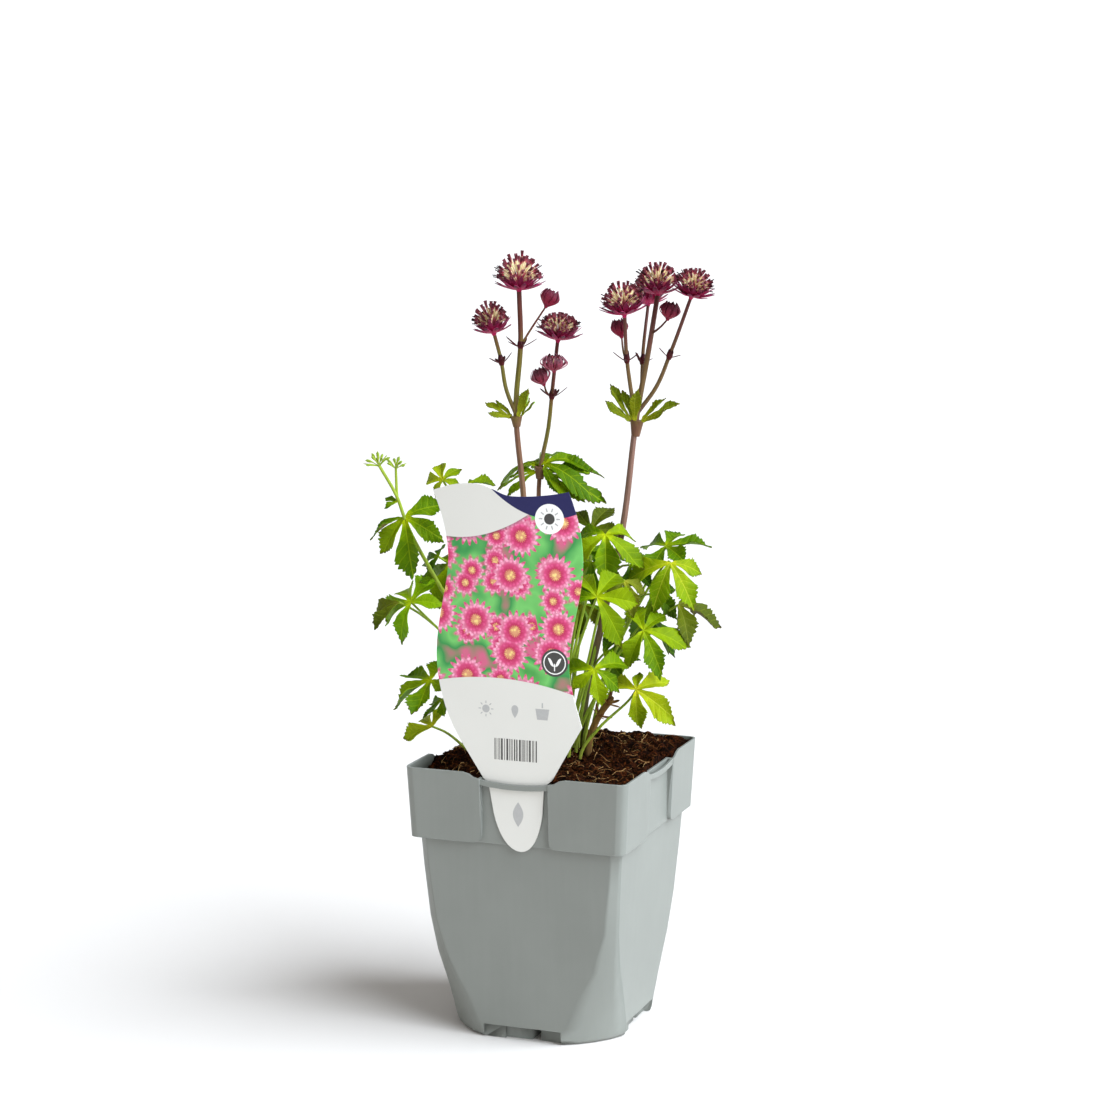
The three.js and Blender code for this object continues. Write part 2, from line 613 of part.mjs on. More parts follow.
// A ball whose upper faces are each drawn out to a thickened bud. Its foot is flat
function spikyBall(frame, shape) {
  const { ball, spin, centre, core, foot, lowest, budRadius, budLength, reachAlong } = shape;
  const corners = ball.attributes.position;
  const middle = new THREE.Vector3(0, 0, centre);
  const skinPoints = [];
  for (let i = 0; i < corners.count; i += 3) {
    const cornerAt = (k) => new THREE.Vector3().fromBufferAttribute(corners, i + k);
    const face = [0, 1, 2].map((k) => cornerAt(k).applyEuler(spin));
    const outward = face[0].clone().add(face[1]).add(face[2]).normalize();
    const root = face.map((p) => {
      const seat = p.clone().setLength(core).add(middle);
      return seat.setZ(Math.max(seat.z, foot));
    });
    if (outward.z < lowest) {
      skinPoints.push(...root);
      continue;
    }
    const reach = reachAlong(outward);
    const bud = face.map((p) => {
      const sideways = p.clone().addScaledVector(outward, -p.dot(outward)).setLength(budRadius);
      return sideways.addScaledVector(outward, reach - budLength).add(middle);
    });
    const tip = outward.clone().multiplyScalar(reach).add(middle);
    for (let k = 0; k < 3; k++) {
      const next = (k + 1) % 3;
      skinPoints.push(root[k], root[next], bud[next], root[k], bud[next], bud[k], bud[k], bud[next], tip);
    }
  }
  return frame.settle(new THREE.BufferGeometry().setFromPoints(skinPoints));
}

// The dome of florets, which stands just clear of its collar
const UMBEL_CENTRE = 7.6;
const UMBEL_CORE = 4.6;

function umbel(bloom) {
  const random = seeded(bloom.seed + 7);
  const wide = bloom.radius - 1;
  const tall = bloom.height - UMBEL_CENTRE;
  return spikyBall(standing(bloom.base, bloom.axis), {
    ball: new THREE.IcosahedronGeometry(1, 1),
    spin: new THREE.Euler(0.3 * bloom.seed, 0.5, bloom.seed),
    centre: UMBEL_CENTRE,
    core: UMBEL_CORE,
    foot: COLLAR_PEAK + GAP,
    lowest: 0.32,
    budRadius: 1.25,
    budLength: 2,
    reachAlong: (way) => (0.93 + 0.1 * random()) / Math.hypot(Math.hypot(way.x, way.y) / wide, way.z / tall),
  });
}

// Open flowers: foot of the flower, axis, radius of the collar and height to the top of the umbel
const BLOOMS = [
  { name: "bloom_a_top", base: [-16, -13, 415.8], axis: [0, 0, 1], radius: 14, height: 23, bracts: 14 },
  { name: "bloom_a_left", base: [-30, -15, 392], axis: [-0.18, -0.05, 1], radius: 11,
    height: 20, bracts: 12 },
  { name: "bloom_b", base: [-1, 8, 387.3], axis: [0.1, 0, 1], radius: 13, height: 17, bracts: 13 },
  { name: "bloom_c_left", base: [39.5, 4.6, 402.6], axis: [-0.08, -0.1, 1], radius: 13.5,
    height: 20, bracts: 14 },
  { name: "bloom_c_top", base: [51.6, 25.8, 412.8], axis: [0, 0.05, 1], radius: 13.5,
    height: 20, bracts: 14 },
  { name: "bloom_c_right", base: [74.5, 14.8, 412.8], axis: [0.3, -0.1, 1], radius: 12,
    height: 17.5, bracts: 13 },
  { name: "bloom_c_back", base: [39, 47, 406], axis: [-0.12, 0.2, 1], radius: 12, height: 17, bracts: 12 },
];

BLOOMS.forEach((bloom, i) => {
  bloom.seed = 11 + i;
  addPiece(`${bloom.name}_collar`, collar(bloom), CRIMSON);
  addPiece(`${bloom.name}_florets`, umbel(bloom), FLORET);
});

// A closed or half-open bud: a small peak inside steep bracts
function bud({ base, axis, radius, height, spread }) {
  return bractRing(standing(base, axis), 7, height * 0.75, (i) => {
    const reach = radius * spread * (i % 2 === 0 ? 1 : 0.85);
    return { reach, lift: height * (i % 2 === 0 ? 0.62 : 0.75), halfWidth: 1.6 };
  });
}

const BUDS = [
  { name: "bud_a", base: [-3.5, -4.5, 407.3], axis: [0.35, 0.3, 1], radius: 5.5, height: 11, spread: 1.05 },
  { name: "bud_b_front", base: [0, -1, 371.3], axis: [0.05, -0.15, 1], radius: 5.5, height: 10, spread: 1.4 },
  { name: "bud_b_left", base: [-7.5, 3.5, 363.3], axis: [-0.35, -0.15, 1], radius: 5,
    height: 10.5, spread: 1.1 },
  { name: "bud_c_right", base: [59.5, 19.5, 400.3], axis: [0.3, 0, 1], radius: 5.5,
    height: 10.5, spread: 1.05 },
  { name: "bud_c_left", base: [35, 13, 390.3], axis: [-0.25, 0, 1], radius: 5, height: 11, spread: 0.95 },
];

for (const item of BUDS) addPiece(item.name, bud(item), CRIMSON);

// A fork's short pointed scales, which spread from the middle of the stem
function scaleRing(centre, axis, scales, reach, turn) {
  const frame = standing(centre, axis);
  const parts = [];
  for (let i = 0; i < scales; i++) {
    const geometry = turned([[0, 0], [1.1, reach * 0.4], [0, reach]], 3);
    geometry.rotateY(THREE.MathUtils.degToRad(58));
    geometry.rotateZ(turn + 2 * Math.PI * i / scales);
    parts.push(frame.settle(geometry));
  }
  return join(parts);
}

// Flower stems: each limb is a route with its radii, sides and steps; the first one stands in the soil
function branchedStem(limbs, scaleRings) {
  const [main, ...branches] = limbs;
  const parts = [rooted(...main)];
  for (const branch of branches) parts.push(limb(...branch));
  for (const ring of scaleRings) parts.push(scaleRing(...ring));
  return join(parts);
}

function clearanceOf(limbs) {
  return join(limbs.map(([points, start, end, sides, steps]) => limb(points, start, end, sides, steps, GAP)));
}

const STEM_A = [
  [[[-6, -8, 144], [-6.5, -8.5, 170], [-11, -10, 232], [-14, -12, 303], [-18, -13, 352], [-15.5, -12, 388],
    [-16, -13, 415.5]], 2, 1.4, 5, 10],
  [[[-17, -13, 346], [-23, -15, 362], [-26, -15, 378], [-29.8, -15, 391.6]], 1.2, 1.1, 4, 4],
  [[[-15.5, -12, 386], [-12, -9, 393], [-3.7, -4.7, 407]], 0.9, 0.75, 3, 2],
];
const STEM_B = [
  [[[-2, 6, 145], [-3, 6, 170], [-8, 5, 250], [-10, 5, 318], [-6, 6, 338], [-4, 7, 359], [-1.2, 8, 387]],
    1.9, 1.2, 5, 9],
  [[[-4, 7, 357], [-2, 3, 363], [0, -0.9, 371]], 0.9, 0.75, 3, 2],
  [[[-4, 7, 356], [-6.5, 5, 359], [-7.4, 3.6, 363]], 0.9, 0.75, 3, 2],
];
const STEM_C = [
  [[[13, 9, 146], [13.5, 9.5, 170], [25, 15, 236], [34, 18, 281], [42, 21, 350], [47, 23, 380],
    [51.5, 25.7, 412.5]], 2.3, 1.4, 5, 11],
  [[[41, 20.7, 344], [39, 17, 362], [38, 13, 379], [39.6, 4.8, 402.3]], 1.3, 1, 4, 4],
  [[[44, 21.7, 360], [42, 29, 378], [39.2, 46.6, 405.7]], 1.1, 0.9, 4, 4],
  [[[42, 21, 348], [52, 22.5, 362], [61, 21, 382], [74.3, 14.9, 412.5]], 1.3, 1, 4, 4],
  [[[49, 24, 392], [55, 21, 396], [59.4, 19.5, 400]], 0.9, 0.75, 3, 2],
  [[[38.6, 14.8, 374], [36, 14, 381], [35, 13, 390]], 0.9, 0.75, 3, 2],
];

addPiece("stem_a", branchedStem(STEM_A, [
  [[-15.6, -12, 387], [0, 0, 1], 5, 9, 0.4],
  [[-26, -15, 378], [-0.2, 0, 1], 3, 7, 0.8],
]), STEM_MAROON);
addPiece("stem_b", branchedStem(STEM_B, [[[-4, 7, 358], [0.1, 0, 1], 4, 8, 0.5]]), STEM_MAROON);
addPiece("stem_c", branchedStem(STEM_C, [
  [[38, 13, 379], [0, -0.2, 1], 3, 8, 0.2],
  [[42.2, 28.6, 377], [0, 0.4, 1], 3, 7, 0.9],
  [[60.6, 21, 381], [0.3, 0, 1], 3, 7, 0.3],
]), STEM_TAUPE);

// The green whorl at a stem's main fork: a sheath round the stem, with leaf lobes rising from it
function whorl({ centre, axis, radius, height, leaves }, stemLimbs) {
  const frame = standing(centre, axis);
  const sheath = [[0, -height], [radius, -height], [radius * 1.3, 0], [0, 0]];
  const parts = [frame.settle(turned(sheath, 6))];
  for (const leaf of leaves) parts.push(leafBlade(leaf, leaf.droop, 0.3));
  return join(parts).subtract(clearanceOf(stemLimbs));
}

const SLENDER = [[0, 1]];
const FORKED = [[-20, 0.8], [22, 0.84]];
const BROAD = [[0, 1], [42, 0.75], [-42, 0.75]];
const WHORL_A = {
  centre: [-17.8, -13, 347], axis: [-0.05, 0, 1], radius: 3.2, height: 4,
  leaves: [
    { hub: [-19.6, -13.6, 346], toward: [-0.75, -0.35, 0.75], facing: [0.5, -0.6, 0.6], size: 18,
      lobes: FORKED, droop: -0.1 },
    { hub: [-16.5, -15.2, 346], toward: [0.3, -0.25, 0.95], facing: [-0.2, -0.9, 0.1], size: 18,
      lobes: SLENDER, droop: -0.1 },
    { hub: [-15.8, -12, 346], toward: [0.5, 0.5, 0.9], facing: [-0.6, -0.4, 0.5], size: 16, lobes: FORKED,
      droop: -0.1 },
  ],
};
const WHORL_B = {
  centre: [-10, 5, 317], axis: [0.1, 0, 1], radius: 3.4, height: 6,
  leaves: [
    { hub: [-8.2, 4.7, 316], toward: [0.75, 0.25, 0.85], facing: [-0.5, -0.6, 0.6], size: 30, lobes: BROAD,
      droop: 0.8 },
    { hub: [-11.4, 6.4, 316], toward: [-0.72, 0.3, 0.6], facing: [0.4, -0.5, 0.75], size: 28, lobes: FORKED,
      droop: 0.7 },
    { hub: [-8.5, 3.6, 314], toward: [0.95, 0, -0.1], facing: [0.1, -0.6, 0.75], size: 36, lobes: FORKED,
      droop: 0.15 },
    { hub: [-12, 4, 314], toward: [-0.85, -0.3, 0.1], facing: [0.1, -0.5, 0.85], size: 23, lobes: FORKED,
      droop: 0.3 },
  ],
};
const WHORL_C = {
  centre: [41.4, 20.8, 341], axis: [0.1, 0, 1], radius: 3.8, height: 5,
  leaves: [
    { hub: [39.2, 19.4, 340], toward: [-0.5, -0.5, 0.95], facing: [0.5, -0.7, 0.2], size: 24, lobes: FORKED,
      droop: -0.15 },
    { hub: [41, 17.9, 340], toward: [0.15, -0.4, 0.9], facing: [0, -0.9, -0.3], size: 20, lobes: SLENDER,
      droop: -0.1 },
    { hub: [43.6, 20, 340.5], toward: [0.85, -0.2, 0.6], facing: [-0.4, -0.7, 0.6], size: 24, lobes: FORKED,
      droop: 0.05 },
  ],
};

addPiece("whorl_a", whorl(WHORL_A, STEM_A), LEAF);
addPiece("whorl_b", whorl(WHORL_B, STEM_B), LEAF_DARK);
addPiece("whorl_c", whorl(WHORL_C, STEM_C), LEAF);

// Green shoot at the left, with a leafy node and two umbels of small buds
const SHOOT = [[-13, -16, 147], [-14.5, -17, 162], [-25, -20, 193], [-41, -26, 224], [-59, -33, 257],
  [-75, -38, 290], [-78, -40, 301], [-87, -45, 320]];
const SHOOT_SIDE = [[-78.5, -40, 300], [-80, -37.5, 308], [-80.5, -37, 318]];
const PAIR = [[-24, 0.82], [26, 0.8]];
const SHOOT_LEAVES = [
  { hub: [-75, -38, 291], toward: [0.75, 0.1, -0.35], facing: [-0.1, -0.85, 0.4], size: 29,
    lobes: [[0, 0.8], [55, 0.8], [-52, 1.1], [-104, 0.8]], droop: 0.2 },
  { hub: [-76, -39, 291], toward: [-0.85, -0.4, -0.15], facing: [-0.1, -0.4, 0.9], size: 20, lobes: SLENDER,
    droop: 0.3 },
  { hub: [-78, -40, 300], toward: [-0.8, -0.5, 0.35], facing: [0, -0.6, 0.8], size: 11, lobes: PAIR,
    droop: 0.1 },
  { hub: [-59, -33, 257], toward: [-0.9, -0.3, 0.2], facing: [0.1, -0.6, 0.8], size: 11, lobes: PAIR,
    droop: 0.1 },
];

function budUmbel(base, axis, reach) {
  return spikyBall(standing(base, axis), {
    ball: new THREE.IcosahedronGeometry(1, 0),
    spin: new THREE.Euler(0.65, 0, 0.3),
    centre: 1,
    core: 1.7,
    foot: -3,
    lowest: 0.25,
    budRadius: 1.5,
    budLength: reach * 0.4,
    reachAlong: () => reach,
  });
}

const shoot = join([
  rooted(SHOOT, 1.6, 1, 4, 10),
  limb(SHOOT_SIDE, 1, 0.8, 3, 3),
  ...SHOOT_LEAVES.map((leaf) => leafBlade(leaf, leaf.droop, 0.35)),
  budUmbel([-87, -45, 319.5], [-0.3, -0.2, 1], 9),
  budUmbel([-80.5, -37, 317.5], [0, 0.1, 1], 7),
]);
addPiece("shoot", shoot, STALK_GREEN);

// Old brown stem at the crown, with dried sheaths
const STUMP = [[22, -4, 147], [23, -5, 165], [30, -8, 180], [38, -11, 190]];
const stump = join([
  rooted(STUMP, 2.4, 1.7, 5, 4),
  scaleRing([31, -8.3, 181], [0.6, -0.2, 0.8], 4, 8, 0.3),
  scaleRing([37, -10.7, 189], [0.6, -0.2, 0.8], 4, 8, 1),
]);
addPiece("stump", stump, DRY_BROWN, 0.8);

// Soil: fills the pot just clear of its wall, with a hole for everything that stands in it
function soilBlock() {
  const width = 2 * (RIM_HALF + CUT_PAST);
  const depth = SOIL_LEVEL + 2 * CUT_PAST;
  const geometry = new THREE.BoxGeometry(width, width, depth, SOIL_CELLS, SOIL_CELLS, 1);
  geometry.translate(0, 0, -depth / 2);
  const position = geometry.attributes.position;
  for (let i = 0; i < position.count; i++) {
    const top = soilTop(position.getX(i), position.getY(i));
    if (position.getZ(i) > -1) position.setZ(i, top);
  }
  return solid(geometry);
}

const soilSpace = potInside(WALL + GAP)
  .subtract(recessCutter(WALL + GAP))
  .subtract(notchCutters(WALL + GAP));
const soil = soilBlock().intersect(soilSpace).subtract(join(holes));
addPiece("soil", soil, PEAT, 0.95);

// Stick label: a flat wavy plate that narrows to a tongue behind the front strap
function tagShape() {
  const shape = new THREE.Shape();
  shape.moveTo(-48.4, 310);
  shape.bezierCurveTo(-38, 314, -28, 316, -18, 314);
  shape.bezierCurveTo(-11, 312, -8, 309, -2, 308.8);
  shape.bezierCurveTo(8, 308.6, 20, 310, 30.7, 312.4);
  shape.bezierCurveTo(37, 298, 39, 284, 38.8, 272);
  shape.bezierCurveTo(38.5, 255, 31, 236, 31, 218);
  shape.bezierCurveTo(31, 206, 36, 194, 38.7, 184.2);
  shape.lineTo(21.5, 153.5);
  shape.lineTo(17, 150);
  shape.lineTo(15.8, 133);
  shape.bezierCurveTo(14, 121, 10, 112, 3.3, 112);
  shape.bezierCurveTo(-4, 112, -10, 121, -12.6, 133);
  shape.lineTo(-15.6, 149);
  shape.lineTo(-18.9, 152.3);
  shape.lineTo(-33, 173.7);
  shape.bezierCurveTo(-42, 188, -46.6, 205, -46.7, 220);
  shape.bezierCurveTo(-46.7, 240, -39.3, 258, -39.3, 273);
  shape.bezierCurveTo(-39.5, 286, -43, 298, -48.4, 310);
  return shape;
}

addPiece("tag", solid(frontPrism(tagShape(), TAG_BACK, TAG_BACK + TAG_THICKNESS, 4)), LABEL, 0.35);

export default plant;
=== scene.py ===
import functools
import math
import random

import bmesh
import bpy
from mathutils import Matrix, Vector, geometry, noise


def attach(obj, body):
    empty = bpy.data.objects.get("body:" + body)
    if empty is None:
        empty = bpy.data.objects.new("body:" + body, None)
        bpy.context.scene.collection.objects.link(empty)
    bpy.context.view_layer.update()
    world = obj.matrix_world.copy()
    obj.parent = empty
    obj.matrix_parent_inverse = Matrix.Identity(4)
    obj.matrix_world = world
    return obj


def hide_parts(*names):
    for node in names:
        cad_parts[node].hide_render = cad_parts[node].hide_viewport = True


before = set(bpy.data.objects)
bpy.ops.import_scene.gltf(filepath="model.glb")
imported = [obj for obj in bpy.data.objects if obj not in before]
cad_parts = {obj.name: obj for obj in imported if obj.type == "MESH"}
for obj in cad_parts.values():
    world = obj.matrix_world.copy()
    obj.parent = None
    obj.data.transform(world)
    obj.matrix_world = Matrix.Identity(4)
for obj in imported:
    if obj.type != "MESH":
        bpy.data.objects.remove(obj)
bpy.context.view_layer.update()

print("frame loaded:", len(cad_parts), "nodes")


# Small helpers. Shapes are worked out in millimetres and scaled once, when a piece is finished

def linear(hexText):
    channels = [int(hexText[i:i + 2], 16) / 255 for i in (0, 2, 4)]
    return [c / 12.92 if c <= 0.04045 else ((c + 0.055) / 1.055) ** 2.4 for c in channels] + [1.0]


# Sets a node's inputs, by name or in order: text is a colour, and a node stands for its first live output
def feed(node, inputs):
    for key, value in inputs.items() if isinstance(inputs, dict) else enumerate(inputs):
        if isinstance(value, bpy.types.Node):
            value = next(socket for socket in value.outputs if socket.enabled)
        if isinstance(value, bpy.types.NodeSocket):
            node.id_data.links.new(value, node.inputs[key])
        else:
            node.inputs[key].default_value = linear(value) if isinstance(value, str) else value


def addNode(tree, kind, inputs=(), stops=None, **settings):
    node = tree.nodes.new("ShaderNode" + kind)
    for key, value in settings.items():
        setattr(node, key, value)
    feed(node, inputs)
    if stops:
        elements = node.color_ramp.elements
        while len(elements) < len(stops):
            elements.new(0.5)
        for element, (position, hexText) in zip(elements, stops.items()):
            element.position = position
            element.color = linear(hexText)
    return node


# Gives the material, a way to add nodes to it, and its shader
def newMaterial(name, inputs):
    material = bpy.data.materials.new(name)
    material.use_nodes = True
    shader = material.node_tree.nodes["Principled BSDF"]
    feed(shader, inputs)
    return material, functools.partial(addNode, material.node_tree), shader


def finishPiece(bm, name, materials, nodes=(), sharpAngle=40):
    bmesh.ops.scale(bm, vec=(0.001, 0.001, 0.001), verts=bm.verts)
    mesh = bpy.data.meshes.new(name)
    bm.to_mesh(mesh)
    bm.free()
    for material in materials:
        mesh.materials.append(material)
    mesh.shade_smooth()
    mesh.set_sharp_from_angle(angle=math.radians(sharpAngle))
    piece = bpy.data.objects.new(name, mesh)
    bpy.context.scene.collection.objects.link(piece)
    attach(piece, "root")
    if nodes:
        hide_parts(*nodes)
    return piece


def facesOf(verts):
    return list(dict.fromkeys(f for v in verts if v.is_valid for f in v.link_faces))


def softStep(value, low, high):
    t = min(max((value - low) / (high - low), 0), 1)
    return t * t * (3 - 2 * t)


# Camera, light and floor: a soft studio, its key light high on the camera's right

studio = {
    "lens": 88.36,
    "eye": (0.5219, -1.4064, 0.5005),
    "target": (-0.0023, -0.0009, 0.2708),
    "sky": 0.34,
    "keyFrom": (1.4, -0.16, 1.05),
    "keySpread": 64,
    "keyPower": 7.2,
    "keyTint": (0.84, 0.915, 1.0),
    "fillPlace": (-0.9, -1.6, 1.2),
    "fillTarget": (0, 0, 0.2),
    "fillSize": 1.2,
    "fillPower": 1.4,
    "fillTint": (1.0, 0.97, 0.93),
    "floorColour": "e0dbd6",
    # The paper lies flat this far out, then curves up to its edge
    "flatTo": 3.0,
    "edge": 9.0,
    "edgeHeight": 1.6,
    "floorCells": 60,
}


def aim(holder, place, target):
    holder.location = place
    holder.rotation_euler = (Vector(target) - Vector(place)).to_track_quat("-Z", "Y").to_euler()
    bpy.context.scene.collection.objects.link(holder)


scene = bpy.context.scene
view = bpy.data.cameras.new("view")
view.lens = studio["lens"]
view.clip_end = 30
camera = bpy.data.objects.new("view", view)
aim(camera, studio["eye"], studio["target"])
scene.camera = camera
scene.view_settings.view_transform = "Standard"
key = bpy.data.lights.new("key", "SUN")
key.energy = studio["keyPower"]
key.color = studio["keyTint"]
key.angle = math.radians(studio["keySpread"])
aim(bpy.data.objects.new("key", key), studio["keyFrom"], (0, 0, 0))
fill = bpy.data.lights.new("fill", "AREA")
fill.shape = "DISK"
fill.size = studio["fillSize"]
fill.energy = studio["fillPower"]
fill.color = studio["fillTint"]
aim(bpy.data.objects.new("fill", fill), studio["fillPlace"], studio["fillTarget"])
sky = bpy.data.worlds.new("studio")
sky.use_nodes = True
feed(sky.node_tree.nodes["Background"], {"Color": "ffffff", "Strength": studio["sky"]})
scene.world = sky

# Matt paper, which throws no highlight of its own
paper = newMaterial("pale paper sweep", {
    "Base Color": studio["floorColour"], "Roughness": 0.9, "IOR": 1.5,
})[0]
cells = studio["floorCells"]
bm = bmesh.new()
bmesh.ops.create_grid(bm, x_segments=cells, y_segments=cells, size=studio["edge"])
for v in bm.verts:
    rise = max(0, v.co.length - studio["flatTo"]) / (studio["edge"] - studio["flatTo"])
    v.co.z = studio["edgeHeight"] * rise * rise
floorMesh = bpy.data.meshes.new("floor")
bm.to_mesh(floorMesh)
bm.free()
floorMesh.shade_smooth()
floorMesh.materials.append(paper)
floor = bpy.data.objects.new("floor", floorMesh)
scene.collection.objects.link(floor)
print("studio ready")


# Plant tissue: light goes into it and comes out again a millimetre or so away, so it glows a little

def newTissue(name, roughness, ior, shine, glow, reach, radius):
    return newMaterial(name, {
        "Roughness": roughness, "IOR": ior, "Specular IOR Level": shine,
        "Subsurface Weight": glow, "Subsurface Scale": reach, "Subsurface Radius": radius,
    })


veinPairs = 7
veinSlant = 0.75


# The upper face of a blade has a waxy skin, which gives it a soft gloss
def leafTop(name, hub, body, deep, vein, tip):
    material, add, shader = newTissue(name, roughness=0.46, ior=1.42, shine=0.07, glow=0.2, reach=0.0015,
                                      radius=(0.7, 1.0, 0.1))
    tone = add("Attribute", attribute_name="tone")
    along, rim, tint = add("SeparateColor", [tone]).outputs
    place = add("TexCoord").outputs["Object"]
    # Patches of darker tissue, about 7 mm across
    patches = add("TexNoise", {"Vector": place, "Scale": 140.0, "Detail": 4.0})
    patchy = add("MapRange", {"Value": patches, "From Min": 0.42, "From Max": 0.66, "To Max": 0.7})
    # Some lobes are paler than their neighbours, some darker
    paler = add("MapRange", {"Value": tint, "From Min": 0.5, "To Max": 0.45})
    darker = add("MapRange", {"Value": tint, "From Max": 0.5, "To Min": 0.8, "To Max": 0.0})
    # Veins: a midrib, and side veins that leave it at a slant about every 3 mm
    lobe = add("SeparateXYZ", [add("UVMap", uv_map="lobe")])
    side = add("Math", [lobe.outputs["X"]], operation="ABSOLUTE")
    slant = add("Math", [side, -veinSlant, lobe.outputs["Y"]], operation="MULTIPLY_ADD")
    count = add("Math", [slant, veinPairs], operation="MULTIPLY")
    wave = add("Math", [count, 0.5], operation="PINGPONG")
    thin = add("MapRange", {"Value": wave, "From Max": 0.1, "To Min": 0.3, "To Max": 0.0},
               interpolation_type="SMOOTHSTEP")
    rib = add("MapRange", {"Value": side, "From Max": 0.02, "To Min": 0.55, "To Max": 0.0},
              interpolation_type="SMOOTHSTEP")
    veins = add("Math", [thin, rib], operation="MAXIMUM")
    # Browned teeth: the last of each lobe, along its margin
    farOut = add("Math", [along, rim], operation="MULTIPLY")
    spotted = add("Math", [patches, 0.5, farOut], operation="MULTIPLY_ADD")
    browned = add("MapRange", {"Value": spotted, "From Min": 1.0, "From Max": 1.2, "To Max": 0.85})
    colour = add("ValToRGB", [along], {0: hub, 0.05: hub, 0.24: body, 0.92: deep})
    for mask, ink in [(patchy, deep), (paler, hub), (darker, deep), (veins, vein), (browned, tip)]:
        colour = add("Mix", {"Factor": mask, "A": colour, "B": ink}, data_type="RGBA")
    # Net of the finest veins, cells of 1.2 mm, with the main veins sunk in
    net = add("TexVoronoi", {"Vector": place, "Scale": 850.0}, feature="DISTANCE_TO_EDGE")
    relief = add("Math", [net, veins], operation="SUBTRACT")
    bump = add("Bump", {"Height": relief, "Strength": 0.5, "Distance": 0.0006})
    feed(shader, {"Base Color": colour, "Normal": bump})
    return material


# The underside has no wax: paler, greyer and dull, with ribs that stand out
def leafUnderside(name, light, dark):
    material, add, shader = newTissue(name, roughness=0.62, ior=1.42, shine=0.12, glow=0.2, reach=0.0015,
                                      radius=(0.7, 1.0, 0.2))
    place = add("TexCoord").outputs["Object"]
    # Paler and darker patches, 8 mm across
    patches = add("TexNoise", {"Vector": place, "Scale": 120.0, "Detail": 5.0})
    lobe = add("SeparateXYZ", [add("UVMap", uv_map="lobe")])
    side = add("Math", [lobe.outputs["X"]], operation="ABSOLUTE")
    rib = add("MapRange", {"Value": side, "From Max": 0.035, "To Min": 1.0, "To Max": 0.0},
              interpolation_type="SMOOTHSTEP")
    colour = add("ValToRGB", [patches], {0.35: dark, 0.65: light})
    colour = add("Mix", {"Factor": rib, "A": colour, "B": light}, data_type="RGBA")
    bump = add("Bump", {"Height": rib, "Strength": 0.5, "Distance": 0.0004})
    feed(shader, {"Base Color": colour, "Normal": bump})
    return material


# A stalk or stem is ribbed lengthways. Its colour follows its height from low to high, in metres
def stemSkin(name, stops, low, high, roughness=0.48):
    material, add, shader = newTissue(name, roughness, ior=1.42, shine=0.2, glow=0.1, reach=0.001,
                                      radius=(0.8, 0.8, 0.3))
    place = add("TexCoord").outputs["Object"]
    # Streaks 1 mm wide and 20 mm long
    stretched = add("Mapping", {"Vector": place, "Scale": (900.0, 900.0, 45.0)})
    streaks = add("TexNoise", {"Vector": stretched, "Scale": 1.0, "Detail": 3.0})
    z = add("SeparateXYZ", [place]).outputs["Z"]
    height = add("MapRange", {"Value": z, "From Min": low, "From Max": high})
    height = add("Math", [streaks, 0.16, height], operation="MULTIPLY_ADD")
    height = add("Math", [height, 0.08], operation="SUBTRACT")
    colour = add("ValToRGB", [height], stops)
    shade = add("MapRange", {"Value": streaks, "From Min": 0.3, "From Max": 0.7, "To Min": 0.78,
                             "To Max": 1.15})
    colour = add("VectorMath", [colour, shade], operation="MULTIPLY")
    bump = add("Bump", {"Height": streaks, "Strength": 0.4, "Distance": 0.0003})
    feed(shader, {"Base Color": colour, "Normal": bump})
    return material


# Bracts and florets are papery petals: colour runs from foot to tip, with fine lengthways nerves
def petal(name, stops, nerve, roughness=0.5, nerves=9.0):
    material, add, shader = newTissue(name, roughness, ior=1.4, shine=0.15, glow=0.12, reach=0.001,
                                      radius=(1.0, 0.4, 0.5))
    tone = add("Attribute", attribute_name="tone")
    along, across, tint = add("SeparateColor", [tone]).outputs
    place = add("TexCoord").outputs["Object"]
    # Grain of about 1 mm makes one colour run unevenly into the next
    grain = add("TexNoise", {"Vector": place, "Scale": 900.0, "Detail": 3.0})
    shifted = add("Math", [grain, 0.24, along], operation="MULTIPLY_ADD")
    shifted = add("Math", [shifted, 0.12], operation="SUBTRACT")
    colour = add("ValToRGB", [shifted], stops)
    spaced = add("Math", [across, nerves], operation="MULTIPLY")
    wave = add("Math", [spaced, 0.5], operation="PINGPONG")
    lines = add("MapRange", {"Value": wave, "From Max": 0.2, "To Min": 0.4, "To Max": 0.0})
    tinted = add("Math", [tint, 0.14], operation="MULTIPLY")
    for mask in (lines, tinted):
        colour = add("Mix", {"Factor": mask, "A": colour, "B": nerve}, data_type="RGBA")
    bump = add("Bump", {"Height": lines, "Strength": 0.3, "Distance": 0.0002})
    feed(shader, {"Base Color": colour, "Normal": bump})
    return material


# The dark slot's skin is a darker copy of the fresh one: painted shade for leaves that stand in shade
leafSkins = {
    "leaf": leafTop("fresh leaf skin", "a6b408", "6e8a02", "3e6000", "92a614", "523a18"),
    "leaf_dark": leafTop("leaf skin with painted shade", "80960a", "486c02", "244200", "648412", "38281a"),
    "leaf_yellow": leafTop("yellowing leaf skin", "c0ba1a", "8e9c06", "607e02", "b0b430", "64461c"),
    "leaf_olive": leafTop("ageing leaf skin", "8a8c20", "5e6a0c", "404a0a", "7a8028", "40301a"),
    "young": leafTop("young leaf skin", "b2c810", "7aa606", "4c7a02", "9eba22", "5a4420"),
    "whorl": leafTop("stem leaf skin", "b0b028", "80860a", "526006", "9aa230", "5e3420"),
}
# The dark slot's underside is a darker copy too: painted shade
leafBacks = {
    "leaf": leafUnderside("fresh leaf underside", "84a23e", "62822c"),
    "leaf_dark": leafUnderside("leaf underside with painted shade", "6c8a36", "4e6c2a"),
    "leaf_yellow": leafUnderside("yellowing leaf underside", "a6b04a", "849632"),
    "leaf_olive": leafUnderside("ageing leaf underside", "78763a", "5a5030"),
}
